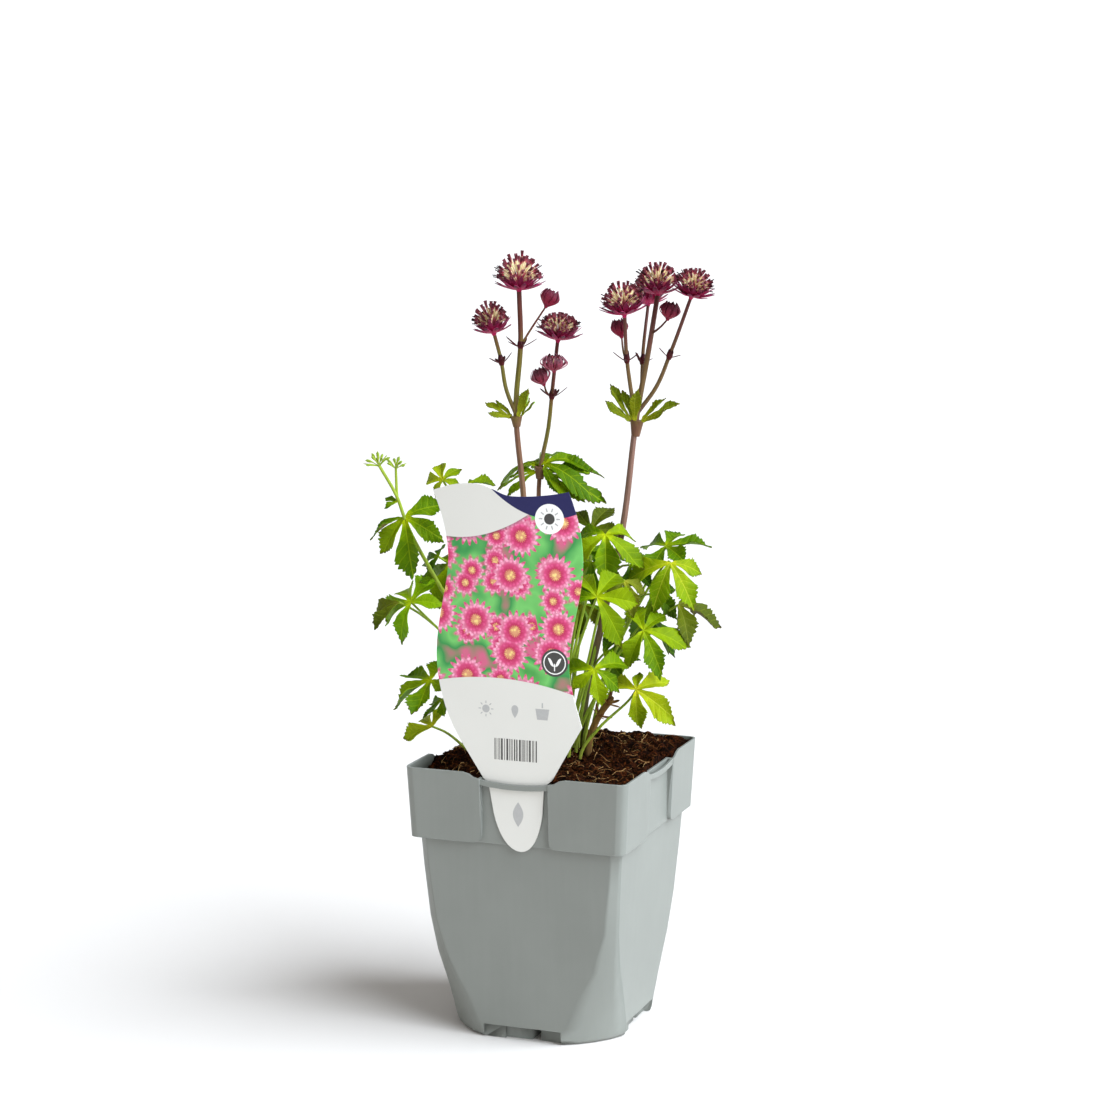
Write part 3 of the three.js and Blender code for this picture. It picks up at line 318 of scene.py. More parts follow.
stalkSkin = stemSkin("green leaf stalk", {0: "7c7836", 0.25: "849c2a", 1: "94ae30"}, 0.14, 0.3)
redOverGreen = {0: "606c24", 0.3: "687230", 0.5: "785c42", 0.68: "6c4a38", 0.78: "625c20", 0.86: "625222",
                0.9: "5c3226", 1: "50221e"}
flowerStemSkin = stemSkin("flower stem, red over green", redOverGreen, 0.16, 0.42)
shortStemSkin = stemSkin("shorter flower stem, red over green", redOverGreen, 0.16, 0.384)
taupeStemSkin = stemSkin("flower stem, taupe", {
    0: "60602a", 0.35: "705446", 0.68: "7a5c50", 0.76: "6c5636", 0.84: "624a2c", 0.9: "5c3830", 1: "502424",
}, 0.16, 0.42)
shootSkin = stemSkin("young green stem", {0: "6c7a26", 0.5: "7e9228", 1: "8a9e2c"}, 0.15, 0.32)
dryStemSkin = stemSkin("dried old stem", {0: "3e2a18", 0.5: "8a6a34", 1: "54381f"}, 0.15, 0.2, 0.8)
dryScale = petal("dried sheath", {0: "7a5228", 0.6: "54331c", 1: "33200f"}, "a5803f", 0.8, 5.0)
bractSkin = petal("crimson bract", {
    0: "9a3450", 0.18: "a81048", 0.5: "8e0a3a", 0.74: "50041e", 0.88: "200409", 1: "140306",
}, "c8487c")
budSkin = petal("crimson bud scale", {
    0: "6c1028", 0.2: "7e0826", 0.6: "560319", 0.85: "30030d", 1: "160306",
}, "a8506a")
halfOpenSkin = petal("half-open bud, pale streaks", {
    0: "7a1230", 0.25: "86082c", 0.6: "58041c", 0.85: "24030a", 1: "140306",
}, "e694aa", 0.5, 3.0)
scaleSkin = petal("maroon fork scale", {0: "4a1616", 0.5: "3c0e14", 1: "1c080c"}, "62282a", 0.5, 5.0)
floretSkin = petal("floret, cream below a red calyx", {
    0: "701832", 0.44: "b04460", 0.58: "eee6ac", 0.77: "faf4c4", 0.83: "9c203c", 0.9: "440412", 1: "28030b",
}, "e07c8c", 0.5, 7.0)
antherSkin = petal("free stamen, dark anther", {
    0: "964458", 0.75: "842844", 0.88: "24080e", 1: "16040a",
}, "340e18", 0.6, 3.0)
greenBudSkin = petal("green flower bud", {0: "7c9828", 0.5: "96ae34", 1: "6c8624"}, "b8c460", 0.5, 5.0)
print("plant materials ready")


# Limbs and bracts

# Evenly spaced centres along a smooth curve through the points, each with two directions across it
def followRoute(points, steps):
    knots = [Vector(p) for p in points]
    spans = [(b - a).length for a, b in zip(knots, knots[1:])]
    headings = [(knots[1] - knots[0]).normalized()]
    for i in range(1, len(knots) - 1):
        before = (knots[i] - knots[i - 1]) / spans[i - 1]
        after = (knots[i + 1] - knots[i]) / spans[i]
        headings.append((before * spans[i] + after * spans[i - 1]).normalized())
    headings.append((knots[-1] - knots[-2]).normalized())
    dense = []
    for i, span in enumerate(spans):
        a, b = knots[i], knots[i + 1]
        handles = (a + headings[i] * span / 3, b - headings[i + 1] * span / 3)
        run = geometry.interpolate_bezier(a, *handles, b, 14)
        dense += run[min(i, 1):]
    reached = [0.0]
    for a, b in zip(dense, dense[1:]):
        reached.append(reached[-1] + (b - a).length)
    centres = []
    at = 0
    for step in range(steps + 1):
        goal = reached[-1] * step / steps
        while at < len(dense) - 2 and reached[at + 1] < goal:
            at += 1
        share = (goal - reached[at]) / max(reached[at + 1] - reached[at], 1e-9)
        centres.append(dense[at].lerp(dense[at + 1], share))
    stations = []
    side = Vector((0.31, 0.95, 0.05))
    for i, centre in enumerate(centres):
        tangent = (centres[min(i + 1, steps)] - centres[max(i - 1, 0)]).normalized()
        side = (side - tangent * side.dot(tangent)).normalized()
        stations.append((centre, side.copy(), tangent.cross(side)))
    return stations


# A profile is a list of points: a share of a length, and the radius there
def alongProfile(profile, share):
    for (a, low), (b, high) in zip(profile, profile[1:]):
        if share <= b:
            return low + (high - low) * (share - a) / (b - a)


# A tapered limb along a route: a grid rolled into a tube, its first and last rows drawn in to close the ends
def addLimb(bm, route, profile, sides, steps, size=1, tint=0.0, materialIndex=0):
    stations = followRoute(route, steps)
    tone = bm.verts.layers.float_color["tone"]
    made = bmesh.ops.create_grid(bm, x_segments=sides, y_segments=steps + 2, size=1)["verts"]
    for v in made:
        row = round((v.co.y + 1) / 2 * (steps + 2))
        level = min(max(row - 1, 0), steps)
        centre, side, across = stations[level]
        radius = 0 if row in (0, steps + 2) else alongProfile(profile, level / steps) * size
        turn = v.co.x * math.pi
        v[tone] = (level / steps, (v.co.x + 1) / 2, tint, 1)
        v.co = centre + (side * math.cos(turn) + across * math.sin(turn)) * radius
    bmesh.ops.remove_doubles(bm, verts=made, dist=0.001)
    for face in facesOf(made):
        face.material_index = materialIndex
    return [v for v in made if v.is_valid]


def newBody():
    bm = bmesh.new()
    bm.verts.layers.float_color.new("tone")
    bm.loops.layers.uv.new("lobe")
    return bm


# Gives a sheet its thickness: an extruded copy stays in place, and the sheet, which extrude turns over, is
# set back
def thicken(bm, made, thickness, backMaterial=None):
    corners = [v for v in made if v.is_valid]
    sheet = facesOf(corners)
    for part in sheet + corners:
        part.normal_update()
    moves = [(v, v.normal * thickness) for v in corners]
    bmesh.ops.extrude_face_region(bm, geom=sheet, use_keep_orig=True)
    for v, move in moves:
        v.co -= move
    if backMaterial is not None:
        for face in sheet:
            face.material_index = backMaterial


# Axes that stand on a base point
def standing(base, axis):
    turn = Vector((0, 0, 1)).rotation_difference(Vector(axis).normalized())
    origin = Vector(base)
    return lambda x, y, z: origin + turn @ Vector((x, y, z))


bractForm = {
    "thickness": 0.3,
    # Width at the foot, how fast it widens from there, and how sharply it narrows to its point
    "foot": 0.42,
    "swell": 1.5,
    "point": 0.62,
    # How deep its channel is for its width
    "channel": 0.22,
}


# A pointed bract. Its path turns a share of its length into how far out and how far up it is
def addBract(bm, place, angle, path, halfWidth, tint, rows=7, materialIndex=0):
    form = bractForm
    tone = bm.verts.layers.float_color["tone"]
    made = bmesh.ops.create_grid(bm, x_segments=2, y_segments=rows, size=1)["verts"]
    for v in made:
        across = v.co.x
        share = (v.co.y + 1) / 2
        out, height = path(share)
        half = 0
        if share < 1:
            half = halfWidth * (form["foot"] + form["swell"] * share) * (1 - share) ** form["point"]
        v[tone] = (share, abs(across), tint, 1)
        height += form["channel"] * half * across * across
        side = -across * half
        v.co = place(out * math.cos(angle) - side * math.sin(angle),
                     out * math.sin(angle) + side * math.cos(angle), height)
    bmesh.ops.remove_doubles(bm, verts=made, dist=0.01)
    for face in facesOf(made):
        face.material_index = materialIndex
    thicken(bm, made, form["thickness"])


# Leaf blades

leafForm = {
    "columns": 10,
    "baseRows": 4,
    "sinus": 0.13,
    "outerGap": 30,
    "sectorShare": 0.92,
    "thickness": 0.4,
    "quilting": 0.018,
    "ruffle": 0.05,
    # How far the margin runs ahead of the midrib, so that the teeth point forward
    "sweep": 0.1,
    # How unevenly a lobe has grown: its teeth, a bend to the side, a skew of its margin, a twist
    "unevenness": 0.07,
    "bend": 0.12,
    "skew": 0.025,
    "twist": 0.3,
    # A lobe is joined to its neighbours up to the first share of its length, and free of them past the second
    "joined": 0.28,
    "free": 0.6,
    # How round the fold along the midrib is, in leaf sizes
    "foldWidth": 0.03,
    # Distance and half-width along one lobe, in lobe lengths, with its coarse teeth and fine ones
    "margin": [
        (0.18, 0.11), (0.26, 0.16), (0.33, 0.21), (0.40, 0.258), (0.412, 0.222), (0.46, 0.264), (0.51, 0.298),
        (0.522, 0.242), (0.56, 0.27), (0.60, 0.296), (0.612, 0.232), (0.65, 0.268), (0.665, 0.196),
        (0.70, 0.212), (0.735, 0.218), (0.748, 0.156), (0.79, 0.164), (0.803, 0.11), (0.845, 0.11),
        (0.885, 0.098), (0.898, 0.046), (0.945, 0.034), (1.0, 0.0),
    ],
}


# A blade is its hub, the way its middle lobe points, the way its upper face looks, its size and its lobes
def addBlade(bm, rng, blade, fold, droop, hang, broad=1.0):
    form = leafForm
    hub, toward, facing, size, lobes = blade
    tone = bm.verts.layers.float_color["tone"]
    uv = bm.loops.layers.uv["lobe"]
    hub = Vector(hub)
    fall = Vector((0, 0, -hang))
    up = Vector(facing).normalized()
    ahead = Vector(toward)
    ahead = (ahead - up * ahead.dot(up)).normalized()
    across = up.cross(ahead)
    lobes = sorted(lobes)
    rows = form["baseRows"] + len(form["margin"])
    shade = rng.uniform(0.25, 0.75)
    made = []
    for i, (degrees, reach) in enumerate(lobes):
        angle = math.radians(degrees)
        below = math.radians((degrees - lobes[i - 1][0]) / 2 if i else form["outerGap"])
        above = math.radians((lobes[i + 1][0] - degrees) / 2 if i + 1 < len(lobes) else form["outerGap"])
        length = size * reach
        width = length * rng.uniform(0.9, 1.12) * broad
        bend = rng.uniform(-form["bend"], form["bend"])
        sag = droop + rng.uniform(-0.2, 0.28)
        phase = rng.uniform(0, 6.28)
        skew = rng.uniform(-form["skew"], form["skew"])
        twist = rng.uniform(-form["twist"], form["twist"])
        crease = fold * rng.uniform(0.5, 1.9)
        tint = shade + rng.uniform(-0.25, 0.25)
        growth = [1 + form["unevenness"] * rng.uniform(-1, 1) for _ in range(2 * len(form["margin"]))]
        heading = ahead * math.cos(angle) + across * math.sin(angle)
        sideways = across * math.cos(angle) - ahead * math.sin(angle)
        lobe = bmesh.ops.create_grid(bm, x_segments=form["columns"], y_segments=rows, size=1)["verts"]
        where = {}
        for v in lobe:
            s = -v.co.x
            row = round((v.co.y + 1) / 2 * rows)
            if row <= form["baseRows"]:
                radius = form["sinus"] * size * row / form["baseRows"]
                turn = s * (above if s > 0 else below)
                along, side = radius * math.cos(turn), radius * math.sin(turn)
            else:
                at = row - form["baseRows"] - 1
                t, half = form["margin"][at]
                half *= growth[2 * at + (s > 0)]
                along = (t + (skew * s + form["sweep"] * s * s) * math.sin(math.pi * t)) * length
                sector = math.tan(above if s > 0 else below) * form["sectorShare"]
                side = s * min(half * width, t * length * sector)
            t = along / length
            free = softStep(t, form["joined"], form["free"])
            side += bend * free * along * t
            ridge = math.sqrt(side * side + (form["foldWidth"] * size) ** 2) - form["foldWidth"] * size
            lift = crease * ridge - sag * along * along / (size + (length - size) * free)
            lift += form["ruffle"] * length * s * s * math.sin(phase + 8 * t) * free + twist * side * free
            cells = abs(math.sin(math.pi * veinPairs * (t - veinSlant * abs(side) / length)))
            puff = softStep(abs(s), 0.05, 0.35) * softStep(t, 0.2, 0.4)
            lift += form["quilting"] * length * (cells - 0.5) * puff
            where[v] = (side / length, t)
            v[tone] = (t, abs(s), tint, 1)
            v.co = hub + heading * along + sideways * side + up * lift + fall * along * along / size
        for face in facesOf(lobe):
            for loop in face.loops:
                loop[uv].uv = where[loop.vert]
        made += lobe
    bmesh.ops.remove_doubles(bm, verts=made, dist=0.02)
    thicken(bm, made, form["thickness"], 1)


# Level of the soil, and its hills and hollows: height, middle and width
soilLevel = 151
soilHills = [(5.5, 12, 22, 30), (-7.5, -56, -52, 20), (3, -44, -16, 12)]


def soilTop(x, y):
    hills = [rise * math.exp(-((x - cx) ** 2 + (y - cy) ** 2) / (2 * width * width))
             for rise, cx, cy, width in soilHills]
    lumps = math.sin(x * 0.31 + 1.3) * math.sin(y * 0.27 + 0.4) + 0.7 * math.sin(x * 0.67 + y * 0.53)
    return sum(hills, soilLevel) + 0.8 * lumps


# Root leaves: hub, the way the middle lobe points, the way the upper face looks, lobe length, each lobe's
# angle with its share of that length, the foot of the stalk and the slot. Two more values where a leaf needs
# them: its skin where that is another's, as for leaves of the dark slot that stand in light and so take no
# painted shade, and how far its lobes curl back
fiveLobes = [(0, 1), (58, 0.95), (-58, 0.95), (116, 0.75), (-116, 0.75)]
threeLobes = [(0, 1), (62, 0.85), (-62, 0.85)]
rootLeaves = [
    ("leaf_left_high", (-71, -39, 243), (-0.6, -0.1, 0.79), (-0.25, -0.8, 0.5), 22,
     [(0, 1), (58, 1.35), (-58, 1), (116, 0.95), (-116, 0.75)], (-14, -12), "leaf", "young"),
    ("leaf_left_low", (-57, -45, 201), (-0.85, -0.45, -0.1), (-0.2, -0.5, 0.85), 25, fiveLobes, (-18, -18),
     "leaf_dark", "leaf", 0.05),
    ("leaf_left_small", (-53, -38, 189), (-0.65, -0.6, -0.45), (-0.4, -0.5, 0.75), 14, threeLobes,
     (-25, -21), "leaf_dark", "leaf", 0.1),
    ("leaf_left_ground", (-57, -43, 174), (-0.9, -0.4, 0), (-0.1, -0.75, 0.65), 19,
     [(0, 1), (-58, 0.8), (-112, 0.85)], (-37, -27), "leaf_olive", "leaf_yellow", 0.2),
    ("leaf_left_young", (-57, -26, 311), (-0.35, -0.1, 0.93), (0, -0.9, 0.4), 13, fiveLobes, (-11, -5),
     "leaf_yellow"),
    ("leaf_left_crest", (-44, -20, 309), (0.9, 0.35, 0.1), (-0.1, -0.4, 0.9), 15, threeLobes, (-8, 0),
     "leaf"),
    ("leaf_left_shade", (-56, -16, 262), (-0.85, -0.35, 0.2), (-0.3, -0.7, 0.6), 23, fiveLobes, (-15, 1),
     "leaf_dark", "leaf"),
    ("leaf_behind_tag", (-8, -40, 236), (0.1, -0.6, 0.6), (0, -0.7, 0.7), 21, fiveLobes, (0, -16), "leaf"),
    ("leaf_right_top", (30, 1, 281), (0.25, -0.65, -0.7), (0.25, -0.65, 0.7), 26, fiveLobes, (5, -3),
     "leaf"),
    ("leaf_right_olive", (42, -1, 256), (0.5, -0.3, -0.8), (0.5, -0.6, 0.6), 17, threeLobes, (10, 1),
     "leaf_olive"),
    ("leaf_right_far", (54, 36, 271), (0.9, 0.3, 0.15), (-0.1, -0.45, 0.9), 26,
     [(0, 1), (60, 0.8), (-60, 0.75), (122, 0.9), (-122, 0.8)], (19, 9), "leaf", "leaf", 0.25),
    ("leaf_right_mid", (64, 14, 265), (0.3, -0.55, -0.78), (0.3, -0.7, 0.62), 23,
     [(-30, 1), (28, 1.1), (84, 0.8), (-90, 1.1)], (17, 2), "leaf_yellow"),
    ("leaf_front_right", (42, -47, 254), (0.42, 0.3, 0.86), (0.3, -0.85, 0.43), 22,
     [(0, 1.05), (58, 0.95), (-58, 1.05), (114, 0.7), (-114, 1.15)], (8, -21), "leaf"),
    ("leaf_right_low", (54, -3, 229), (0.93, 0.32, -0.17), (0.15, -0.75, 0.65), 24,
     [(0, 1.05), (58, 0.8), (-58, 1), (114, 0.95), (-114, 0.8)], (15, -5), "leaf"),
    ("leaf_right_outer", (66, 23, 240), (0.85, 0.3, -0.35), (0.3, -0.3, 0.9), 26, threeLobes, (21, 0),
     "leaf_olive"),
    ("leaf_front_low", (37, -37, 212), (0.37, -0.52, -0.77), (0.3, -0.75, 0.6), 20,
     [(0, 0.9), (58, 0.8), (-58, 0.75), (114, 1.2), (-114, 0.95)], (15, -17), "leaf"),
    ("leaf_yellow", (53, -12, 197), (0.785, 0.374, 0.494), (0.1, -0.85, 0.5), 20,
     [(0, 1), (60, 0.6), (-60, 1.25), (120, 0.95), (-120, 0.95)], (21, -14), "leaf_yellow"),
    ("leaf_back_left", (-48, 28, 240), (-0.8, 0.55, 0.1), (-0.3, 0.3, 0.9), 25, fiveLobes, (-12, 8), "leaf"),
    ("leaf_back_middle", (-6, 52, 232), (-0.1, 0.95, 0.1), (0, 0.45, 0.9), 25, fiveLobes, (2, 19), "leaf"),
    ("leaf_back_right", (38, 50, 226), (0.6, 0.8, 0.1), (0.2, 0.3, 0.9), 24, fiveLobes, (11, 17),
     "leaf_dark"),
    ("leaf_back_high", (8, 32, 266), (0.1, 0.9, 0.4), (0, -0.4, 0.9), 23, fiveLobes, (5, 12), "leaf_dark"),
    ("leaf_back_low", (-30, 52, 193), (-0.5, 0.85, -0.1), (-0.1, 0.3, 0.95), 22, threeLobes, (-6, 15),
     "leaf_dark"),
    ("leaf_side_left", (-56, 4, 213), (-0.95, 0.05, 0.05), (-0.3, -0.1, 0.9), 22, fiveLobes, (-19, 5),
     "leaf_dark"),
]
stalkForm = {
    "radius": [(0, 1.05), (1, 0.65)],
    "sides": 7,
    "steps": 18,
    "rootDepth": 5,
    # The stalk comes up to its blade from this far behind and below
    "behind": 5,
    "under": 7,
}
rootFold = 0.5
rootHang = 0.1


def camel(name):
    first, *rest = name.split("_")
    return first + "".join(word.capitalize() for word in rest)


def rootLeaf(name, hub, toward, facing, size, lobes, foot, slot, skin=None, droop=0.5, nodes=()):
    bm = newBody()
    addBlade(bm, random.Random(name), (hub, toward, facing, size, lobes), rootFold, droop, rootHang)
    up = Vector(facing).normalized()
    x, y = foot
    ground = soilTop(x, y)
    behind = Vector(hub) - Vector(toward).normalized() * stalkForm["behind"] - up * stalkForm["under"]
    middle = (x + (behind.x - x) * 0.34, y + (behind.y - y) * 0.34, ground + (behind.z - ground) * 0.5)
    route = [(x, y, ground - stalkForm["rootDepth"]), (x, y, ground + 4), middle, behind,
             Vector(hub) - up * 0.2]
    addLimb(bm, route, stalkForm["radius"], stalkForm["sides"], stalkForm["steps"], materialIndex=2)
    finishPiece(bm, camel(name), [leafSkins[skin or slot], leafBacks[slot], stalkSkin], nodes)


# Lesser leaves that fill the crown between those above; those of the dark slot wear its skin of painted shade
fillLeaves = [
    ("leaf_fill_tip", (16, 17, 281), (0.35, 0.1, 0.93), (0.1, -0.85, 0.3), 20, threeLobes, (3, 3),
     "leaf_olive"),
    ("leaf_fill_inner", (19, 8, 264), (0.15, -0.4, -0.9), (0.3, -0.9, 0.3), 21, threeLobes, (4, -1),
     "leaf_dark"),
    ("leaf_fill_low", (27, 7, 212), (0.9, 0.3, 0.25), (0.1, -0.75, 0.6), 20, threeLobes, (12, 0),
     "leaf_dark"),
    ("leaf_fill_shade", (12, 14, 238), (-0.1, -0.2, -0.95), (0.25, -0.9, 0.2), 18, threeLobes, (7, 7),
     "leaf_olive"),
    ("leaf_fill_outer", (50, 24, 245), (0.75, 0.2, -0.6), (0.2, -0.7, 0.6), 18, threeLobes, (16, 7),
     "leaf_dark"),
    ("leaf_fill_middle", (39, 17, 262), (0.8, 0.1, -0.5), (0.3, -0.7, 0.6), 16, threeLobes, (13, 4),
     "leaf_dark"),
    ("leaf_fill_left", (-78, -40, 243), (-0.9, -0.35, -0.2), (-0.1, -0.6, 0.8), 21, [(-16, 0.95), (24, 0.9)],
     (-17, -9), "leaf_olive"),
    ("leaf_fill_left_back", (-64, -16, 266), (-0.85, -0.2, 0.3), (-0.2, -0.7, 0.6), 15, threeLobes, (-13, 3),
     "leaf_dark"),
]

for record in rootLeaves:
    rootLeaf(*record, nodes=[record[0]])
for record in fillLeaves:
    rootLeaf(*record)
print("root leaves:", len(rootLeaves) + len(fillLeaves))


# Open flowers: base, axis, radius of the collar, height to the top of the umbel and number of bracts
blooms = [
    ("bloom_a_top", (-16, -13, 415.8), (0, 0, 1), 14, 23, 14),
    ("bloom_a_left", (-30, -15, 392), (-0.18, -0.05, 1), 11, 20, 12),
    ("bloom_b", (-1, 8, 387.3), (0.1, 0, 1), 13, 17, 13),
    ("bloom_c_left", (39.5, 4.6, 402.6), (-0.08, -0.1, 1), 13.5, 20, 14),
    ("bloom_c_top", (51.6, 25.8, 412.8), (0, 0.05, 1), 13.5, 20, 14),
    ("bloom_c_right", (74.5, 14.8, 412.8), (0.3, -0.1, 1), 12, 17.5, 13),
    ("bloom_c_back", (39, 47, 406), (-0.12, 0.2, 1), 12, 17, 12),
]
bloomForm = {
    # Lower ring of bracts, then the upper: how steeply it rises, its share of the radius, and its turn
    "rings": [(0.3, 1.04, 0), (0.58, 0.96, 0.5)],
    "bow": 1.7,
    "bractHalf": 1.95,
    "bractRoot": 1.3,
    "cup": [(0, 0.9), (0.35, 1.5), (0.7, 2.3), (1, 1.2)],
    "florets": 54,
    "stamens": 18,
    "floretStart": 2.6,
    "centre": 6.6,
    "lowest": 0.08,
    # Share of a floret's length, and its radius in millimetres
    "floret": [(0, 0.24), (0.5, 0.22), (0.6, 0.42), (0.7, 0.72), (0.79, 0.56), (0.84, 0.56), (0.91, 0.95),
               (1, 0.9)],
    "stamen": [(0, 0.16), (0.5, 0.14), (0.84, 0.15), (0.9, 0.62), (0.95, 0.7), (1, 0.3)],
}
# Florets placed at this turn from each other never line up
goldenTurn = 2.39996


# A stalked floret or bud from its start up to its tip
def addStalked(bm, place, tip, start, profile, size, tint, materialIndex=0):
    foot = Vector((0, 0, start))
    tip = Vector(tip)
    middle = foot.lerp(tip, 0.5) + Vector((0, 0, 0.1 * (tip - foot).length))
    return addLimb(bm, [place(*p) for p in (foot, middle, tip)], profile, 6, 7, size, tint, materialIndex)


# A point of a dome: level is 0 at its rim and 1 on top
def onDome(level, turn, wide, tall, base):
    flat = math.sqrt(1 - level * level) * wide
    return flat * math.cos(turn), flat * math.sin(turn), base + level * tall


# How far from the middle of an oval dome its surface is at a level
def domeReach(level, wide, tall):
    return 1 / math.hypot(math.sqrt(1 - level * level) / wide, level / tall)


def bloom(name, base, axis, radius, height, count):
    form = bloomForm
    rng = random.Random(name)
    place = standing(base, axis)
    root = form["bractRoot"]
    bm = newBody()
    for layer, (rise, spread, turn) in enumerate(form["rings"]):
        for i in range(count):
            angle = 2 * math.pi * (i + turn + rng.uniform(-0.12, 0.12)) / count
            reach = radius * spread * rng.uniform(0.9, 1.04)
            top = reach * (rise + rng.uniform(-0.06, 0.08))

            def path(share):
                return root + (reach - root) * share, 1.2 + layer * 0.7 + top * share ** form["bow"]
            addBract(bm, place, angle, path, form["bractHalf"] * rng.uniform(0.85, 1.1), rng.random())
    # The cup under the bracts
    addLimb(bm, [place(0, 0, z) for z in (-0.8, 1.2, 3.2)], form["cup"], sides=10, steps=6, tint=0.2)
    finishPiece(bm, camel(name) + "Collar", [bractSkin], [name + "_collar"])

    bm = newBody()
    tone = bm.verts.layers.float_color["tone"]
    wide = radius - 1.2
    tall = height - form["centre"]
    for i in range(form["florets"]):
        level = 1 - (1 - form["lowest"]) * (i + 0.5) / form["florets"]
        turn = i * goldenTurn + rng.uniform(-0.25, 0.25)
        reach = rng.uniform(0.9, 1.02) * domeReach(level, wide, tall)
        tip = onDome(level, turn, reach, reach, form["centre"])
        made = addStalked(bm, place, tip, form["floretStart"], form["floret"], rng.uniform(0.9, 1.12),
                          rng.random())
        # Calyx teeth: every second point of the last ring flares out
        end = place(*tip)
        crown = [v for v in made if v[tone][0] > 0.99 and (v.co - end).length > 0.3]
        for k, v in enumerate(sorted(crown, key=lambda v: v[tone][1])):
            v.co = end + (v.co - end) * (1.25 if k % 2 else 0.75)
    for i in range(form["stamens"]):
        level = rng.uniform(0.05, 0.6)
        turn = rng.uniform(0, 2 * math.pi)
        reach = rng.uniform(1.02, 1.1) * domeReach(level, wide + 1, tall)
        tip = onDome(level, turn, reach, reach, form["centre"])
        addStalked(bm, place, tip, form["floretStart"], form["stamen"], 1, 0, 1)
    finishPiece(bm, camel(name) + "Florets", [floretSkin, antherSkin], [name + "_florets"])


for record in blooms:
    bloom(*record)
print("blooms:", len(blooms))

# Buds: base, axis, radius, height, how far the bracts spread, and their skin
buds = [
    ("bud_a", (-3.5, -4.5, 407.3), (0.35, 0.3, 1), 5.5, 11, 1.05, budSkin),
    ("bud_b_front", (0, -1, 371.3), (0.05, -0.15, 1), 5.5, 10, 1.4, halfOpenSkin),
    ("bud_b_left", (-7.5, 3.5, 363.3), (-0.35, -0.15, 1), 5, 10.5, 1.1, halfOpenSkin),
    ("bud_c_right", (59.5, 19.5, 400.3), (0.3, 0, 1), 5.5, 10.5, 1.05, budSkin),
    ("bud_c_left", (35, 13, 390.3), (-0.25, 0, 1), 5, 11, 0.95, budSkin),
]
budForm = {
    "scales": 9,
    "scaleHalf": 1.6,
    "scaleRoot": 0.9,
    "closing": 0.42,
    "cup": [(0, 0.8), (0.5, 1.5), (1, 1.0)],
    "florets": 12,
    "floretStart": 1.5,
    "floretSize": 0.72,
}


def bud(name, base, axis, radius, height, spread, skin):
    form = budForm
    rng = random.Random(name)
    place = standing(base, axis)
    root = form["scaleRoot"]
    bm = newBody()
    widest = radius * spread
    for layer in range(2):
        for i in range(form["scales"]):
            angle = 2 * math.pi * (i + layer * 0.5 + rng.uniform(-0.1, 0.1)) / form["scales"]
            reach = widest * (1 - 0.22 * layer) * rng.uniform(0.92, 1.05)
            tall = height * (0.84 + 0.1 * layer) * rng.uniform(0.9, 1.0)

            # Out from the cup, then in again towards the tip
            def path(share):
                out = (reach - root) * math.sin(min(share * 1.9, 1.2) * 1.31)
                return root + out * (1 - form["closing"] * softStep(share, 0.5, 1.1)), 0.6 + tall * share
            addBract(bm, place, angle, path, form["scaleHalf"] * rng.uniform(0.9, 1.1), rng.random(), 8)
    for i in range(form["florets"]):
        level = 1 - 0.75 * (i + 0.5) / form["florets"]
        tip = onDome(level, i * goldenTurn, widest * 0.75, height * 0.42, height * 0.5)
        addStalked(bm, place, tip, form["floretStart"], bloomForm["floret"], form["floretSize"],
                   rng.random(), 1)
    addLimb(bm, [place(0, 0, z) for z in (-0.6, 1, 2.6)], form["cup"], sides=9, steps=5, tint=0.2)
    finishPiece(bm, camel(name), [skin, floretSkin], [name])


for record in buds:
    bud(*record)
print("buds:", len(buds))


# Flower stems: each limb is a route with its first and last radius. A fork carries a ring of small pointed
# scales, which has a base, an axis, a count, a reach and a turn

scaleForm = {"root": 0.8, "half": 1.2, "knuckle": [(0, 1.3), (0.3, 1.9), (0.6, 1.8), (1, 1.1)]}


def addScales(bm, rng, base, axis, count, reach, turn):
    place = standing(base, axis)
    root = scaleForm["root"]
    for i in range(count):
        angle = turn + 2 * math.pi * i / count + rng.uniform(-0.2, 0.2)
        length = reach * rng.uniform(0.8, 1.05)
        rise = rng.uniform(0.35, 0.8)

        def path(share):
            return root + (length - root) * share, -1.5 + length * rise * share ** 1.3
        addBract(bm, place, angle, path, scaleForm["half"], rng.random(), 6, 1)
    addLimb(bm, [place(0, 0, z) for z in (-3, 0, 3)], scaleForm["knuckle"], sides=10, steps=6, tint=0.3,
            materialIndex=1)


